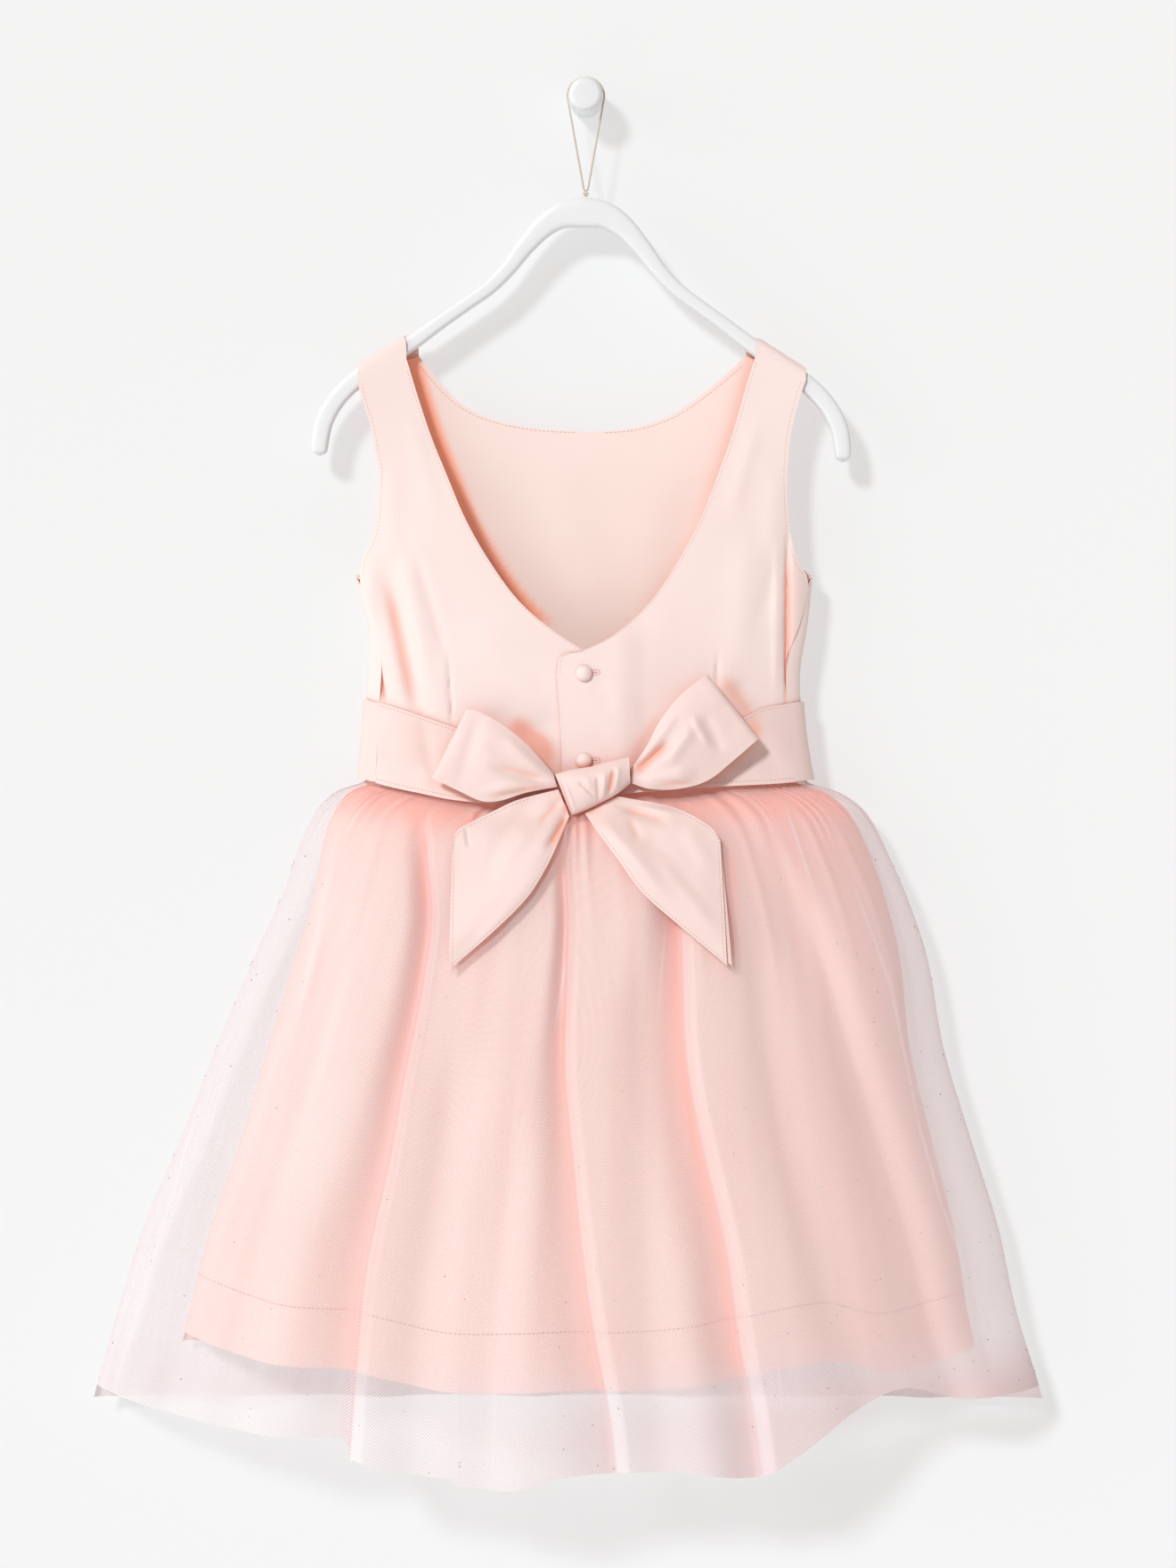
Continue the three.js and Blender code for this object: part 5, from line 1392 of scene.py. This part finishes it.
def add_hanger():
    """A smooth bar with rounded edges, thicker in the middle of its arch."""
    half_rings, sides = 120, 32
    place = lengths(np.stack([HANGER["x"], HANGER["z"]], 1))
    rows = {**HANGER, "place": place}
    at = np.linspace(-place[-1], place[-1], 2 * half_rings + 1)
    middle_x = np.sign(at) * along(rows, "place", "x", np.abs(at))
    middle_z = along(rows, "place", "z", np.abs(at))
    height = along(rows, "place", "height", np.abs(at))
    ahead = np.stack([np.gradient(middle_x), np.gradient(middle_z)], 1)
    ahead /= np.linalg.norm(ahead, axis=1, keepdims=True)
    a = ring(sides)
    up, deep = power(np.sin(a), HANGER_CORNER), power(np.cos(a), HANGER_CORNER)
    past = np.clip((np.abs(at) / place[-1] - HANGER_END) / (1 - HANGER_END), 0, 1)
    shrink = np.sqrt(np.maximum(1 - past ** 2, 0.02))
    half = (height / 2 * shrink)[:, None]
    x = middle_x[:, None] - ahead[:, 1:] * half * up
    z = middle_z[:, None] + ahead[:, :1] * half * up
    y = HANG_Y + HANGER_DEPTH / 2 * deep * shrink[:, None]
    tilt_cos, tilt_sin = math.cos(-HANGER_TILT), math.sin(-HANGER_TILT)
    points = np.stack([x * tilt_cos + z * tilt_sin, y, z * tilt_cos - x * tilt_sin], -1)
    faces = tube_faces(len(at), sides, [0, 1, 2, 3])
    piece = new_mesh("hanger_bar", points.reshape(-1, 3), faces, PAINT_LOOK)
    belongs(piece, "white_paint", "hanger")


def add_peg():
    """A turned peg with a rounded front edge, its flat back on the wall."""
    radius, length, rounding = PEG["radius"], PEG["length"], PEG["round"]
    turn = np.linspace(0, math.pi / 2, 10)
    r = np.concatenate([[0.01, radius, radius], radius - rounding * (1 - np.cos(turn)), [0.01]])
    y = np.concatenate([[0, 0, -8], -(length - rounding + rounding * np.sin(turn)), [-length]])
    a = np.linspace(0, 2 * math.pi, 65)
    grid = np.stack([r[:, None] * np.cos(a), y[:, None] + 0 * a, r[:, None] * np.sin(a)], -1)
    piece = cloth("peg_turned", [grid], PAINT_LOOK, 0)
    weld(piece, 0.03)
    belongs(piece, "white_paint", "peg")


def twine_path():
    """Evenly spaced points of the loop in x and z: over the peg, down and round its lowest bend."""
    radius, lowest, bend, rise = (TWINE[k] for k in ("radius", "lowest", "bend", "rise"))
    over = PEG["radius"] + PEG_GAP + radius
    lean = math.asin((over - bend) / -lowest)
    upper = np.linspace(-lean, math.pi + lean, 60)
    lower = np.linspace(math.pi + lean, 2 * math.pi - lean, 16)
    arc = np.stack([over * np.cos(upper), over * np.sin(upper)], 1)
    turn = np.stack([bend * np.cos(lower), lowest + rise + bend * np.sin(lower)], 1)
    path = np.concatenate([arc, turn, arc[:1]])
    place = lengths(path)
    at = np.linspace(0, place[-1], 420, endpoint=False)
    return np.stack([np.interp(at, place, path[:, k]) for k in (0, 1)], 1), at, place[-1]


def add_twine():
    """A thin loop of three plies laid round each other."""
    path, at, whole = twine_path()
    ahead = np.roll(path, -1, axis=0) - np.roll(path, 1, axis=0)
    ahead /= np.linalg.norm(ahead, axis=1, keepdims=True)
    points, faces = [], []
    turns, sides, count = round(whole / PLIES["lay"]), PLIES["sides"], len(path)
    here = np.arange(count)
    after = (here + 1) % count
    for ply in range(PLIES["count"]):
        spin = 2 * math.pi * (at / whole * turns + ply / PLIES["count"])
        for k, a in enumerate(ring(sides)):
            out = PLIES["out"] * np.cos(spin) + PLIES["radius"] * math.cos(a)
            y = HANG_Y + PLIES["out"] * np.sin(spin) + PLIES["radius"] * math.sin(a)
            x, z = path[:, 0] + ahead[:, 1] * out, path[:, 1] - ahead[:, 0] * out
            points.append(np.stack([x, y, z], 1))
            i = (ply * sides + k) * count
            j = (ply * sides + (k + 1) % sides) * count
            faces.append(np.stack([i + here, i + after, j + after, j + here], 1))
    piece = new_mesh("hanging_twine", np.concatenate(points), np.concatenate(faces), TWINE_LOOK)
    belongs(piece, "twine", "hanging_loop")


def add_twine_knot():
    """A small overhand knot under the loop's lowest bend."""
    k, t = TWINE_KNOT, ring(72)
    middle = TWINE["lowest"] + TWINE["rise"] - TWINE["bend"] - TWINE["radius"] - k["below"]
    x = k["wide"] * (np.sin(t) + 2 * np.sin(2 * t))
    z = middle + k["high"] * (np.cos(t) - 2 * np.cos(2 * t))
    points, faces = swept(np.stack([x, HANG_Y - k["deep"] * np.sin(3 * t), z], -1), k["radius"])
    belongs(new_mesh("hanging_knot", points, faces, TWINE_LOOK), "twine", "loop_knot")


def add_stage():
    """A plain pale wall and floor in an even, pale room, with soft light from the upper left."""
    look = new_material("stage_paper", (0.36, 0.38, 0.385), 0.9)
    inputs = shader_of(look).inputs
    inputs["Specular IOR Level"].default_value = 0
    inputs["Emission Color"].default_value = (1, 0.985, 0.98, 1)
    inputs["Emission Strength"].default_value = 0.53
    far, y, low = STAGE["far"], STAGE["wall_y"], STAGE["floor_z"]
    wall = [(-far, y, low), (far, y, low), (far, y, far), (-far, y, far)]
    ground = [(-far, y, low), (far, y, low), (far, -2 * far, low), (-far, -2 * far, low)]
    new_mesh("stage_wall", wall, [(0, 1, 2, 3)], look)
    new_mesh("stage_floor", ground, [(0, 1, 2, 3)], look)
    world = bpy.data.worlds.new("room")
    world.use_nodes = True
    room = world.node_tree.nodes["Background"].inputs
    room["Color"].default_value = (1, 0.78, 0.70, 1)
    room["Strength"].default_value = 0.36
    bpy.context.scene.world = world
    for name, energy, spread, aim in LIGHTS:
        sun = bpy.data.lights.new(name, "SUN")
        sun.energy = energy
        sun.angle = math.radians(spread)
        sun.color = (0.97, 1.0, 1.01)
        lamp = bpy.data.objects.new(name, sun)
        lamp.rotation_euler = Vector(aim).to_track_quat("-Z", "Y").to_euler()
        bpy.context.scene.collection.objects.link(lamp)


def add_camera():
    """Level and square to the wall, half a millimetre a pixel in the plane of the bow."""
    data = bpy.data.cameras.new("camera")
    camera = bpy.data.objects.new("camera", data)
    data.sensor_fit = "VERTICAL"
    data.sensor_height = VIEW["sensor"]
    data.lens = VIEW["sensor"] * VIEW["distance"] / VIEW["height"]
    data.clip_start, data.clip_end = 0.05, 20
    camera.location = Vector((VIEW["x"], VIEW["y"] - VIEW["distance"], VIEW["z"])) * MM
    camera.rotation_euler = (math.pi / 2, 0, 0)
    bpy.context.scene.collection.objects.link(camera)
    bpy.context.scene.camera = camera


bpy.context.scene.view_settings.view_transform = "Standard"
add_camera()
add_stage()
add_hanger()
add_peg()
add_twine()
add_twine_knot()
add_backs()
add_front()
add_lining()
add_buttons()
add_buttonholes()
add_bow(add_sash())
add_knot()
add_skirts()
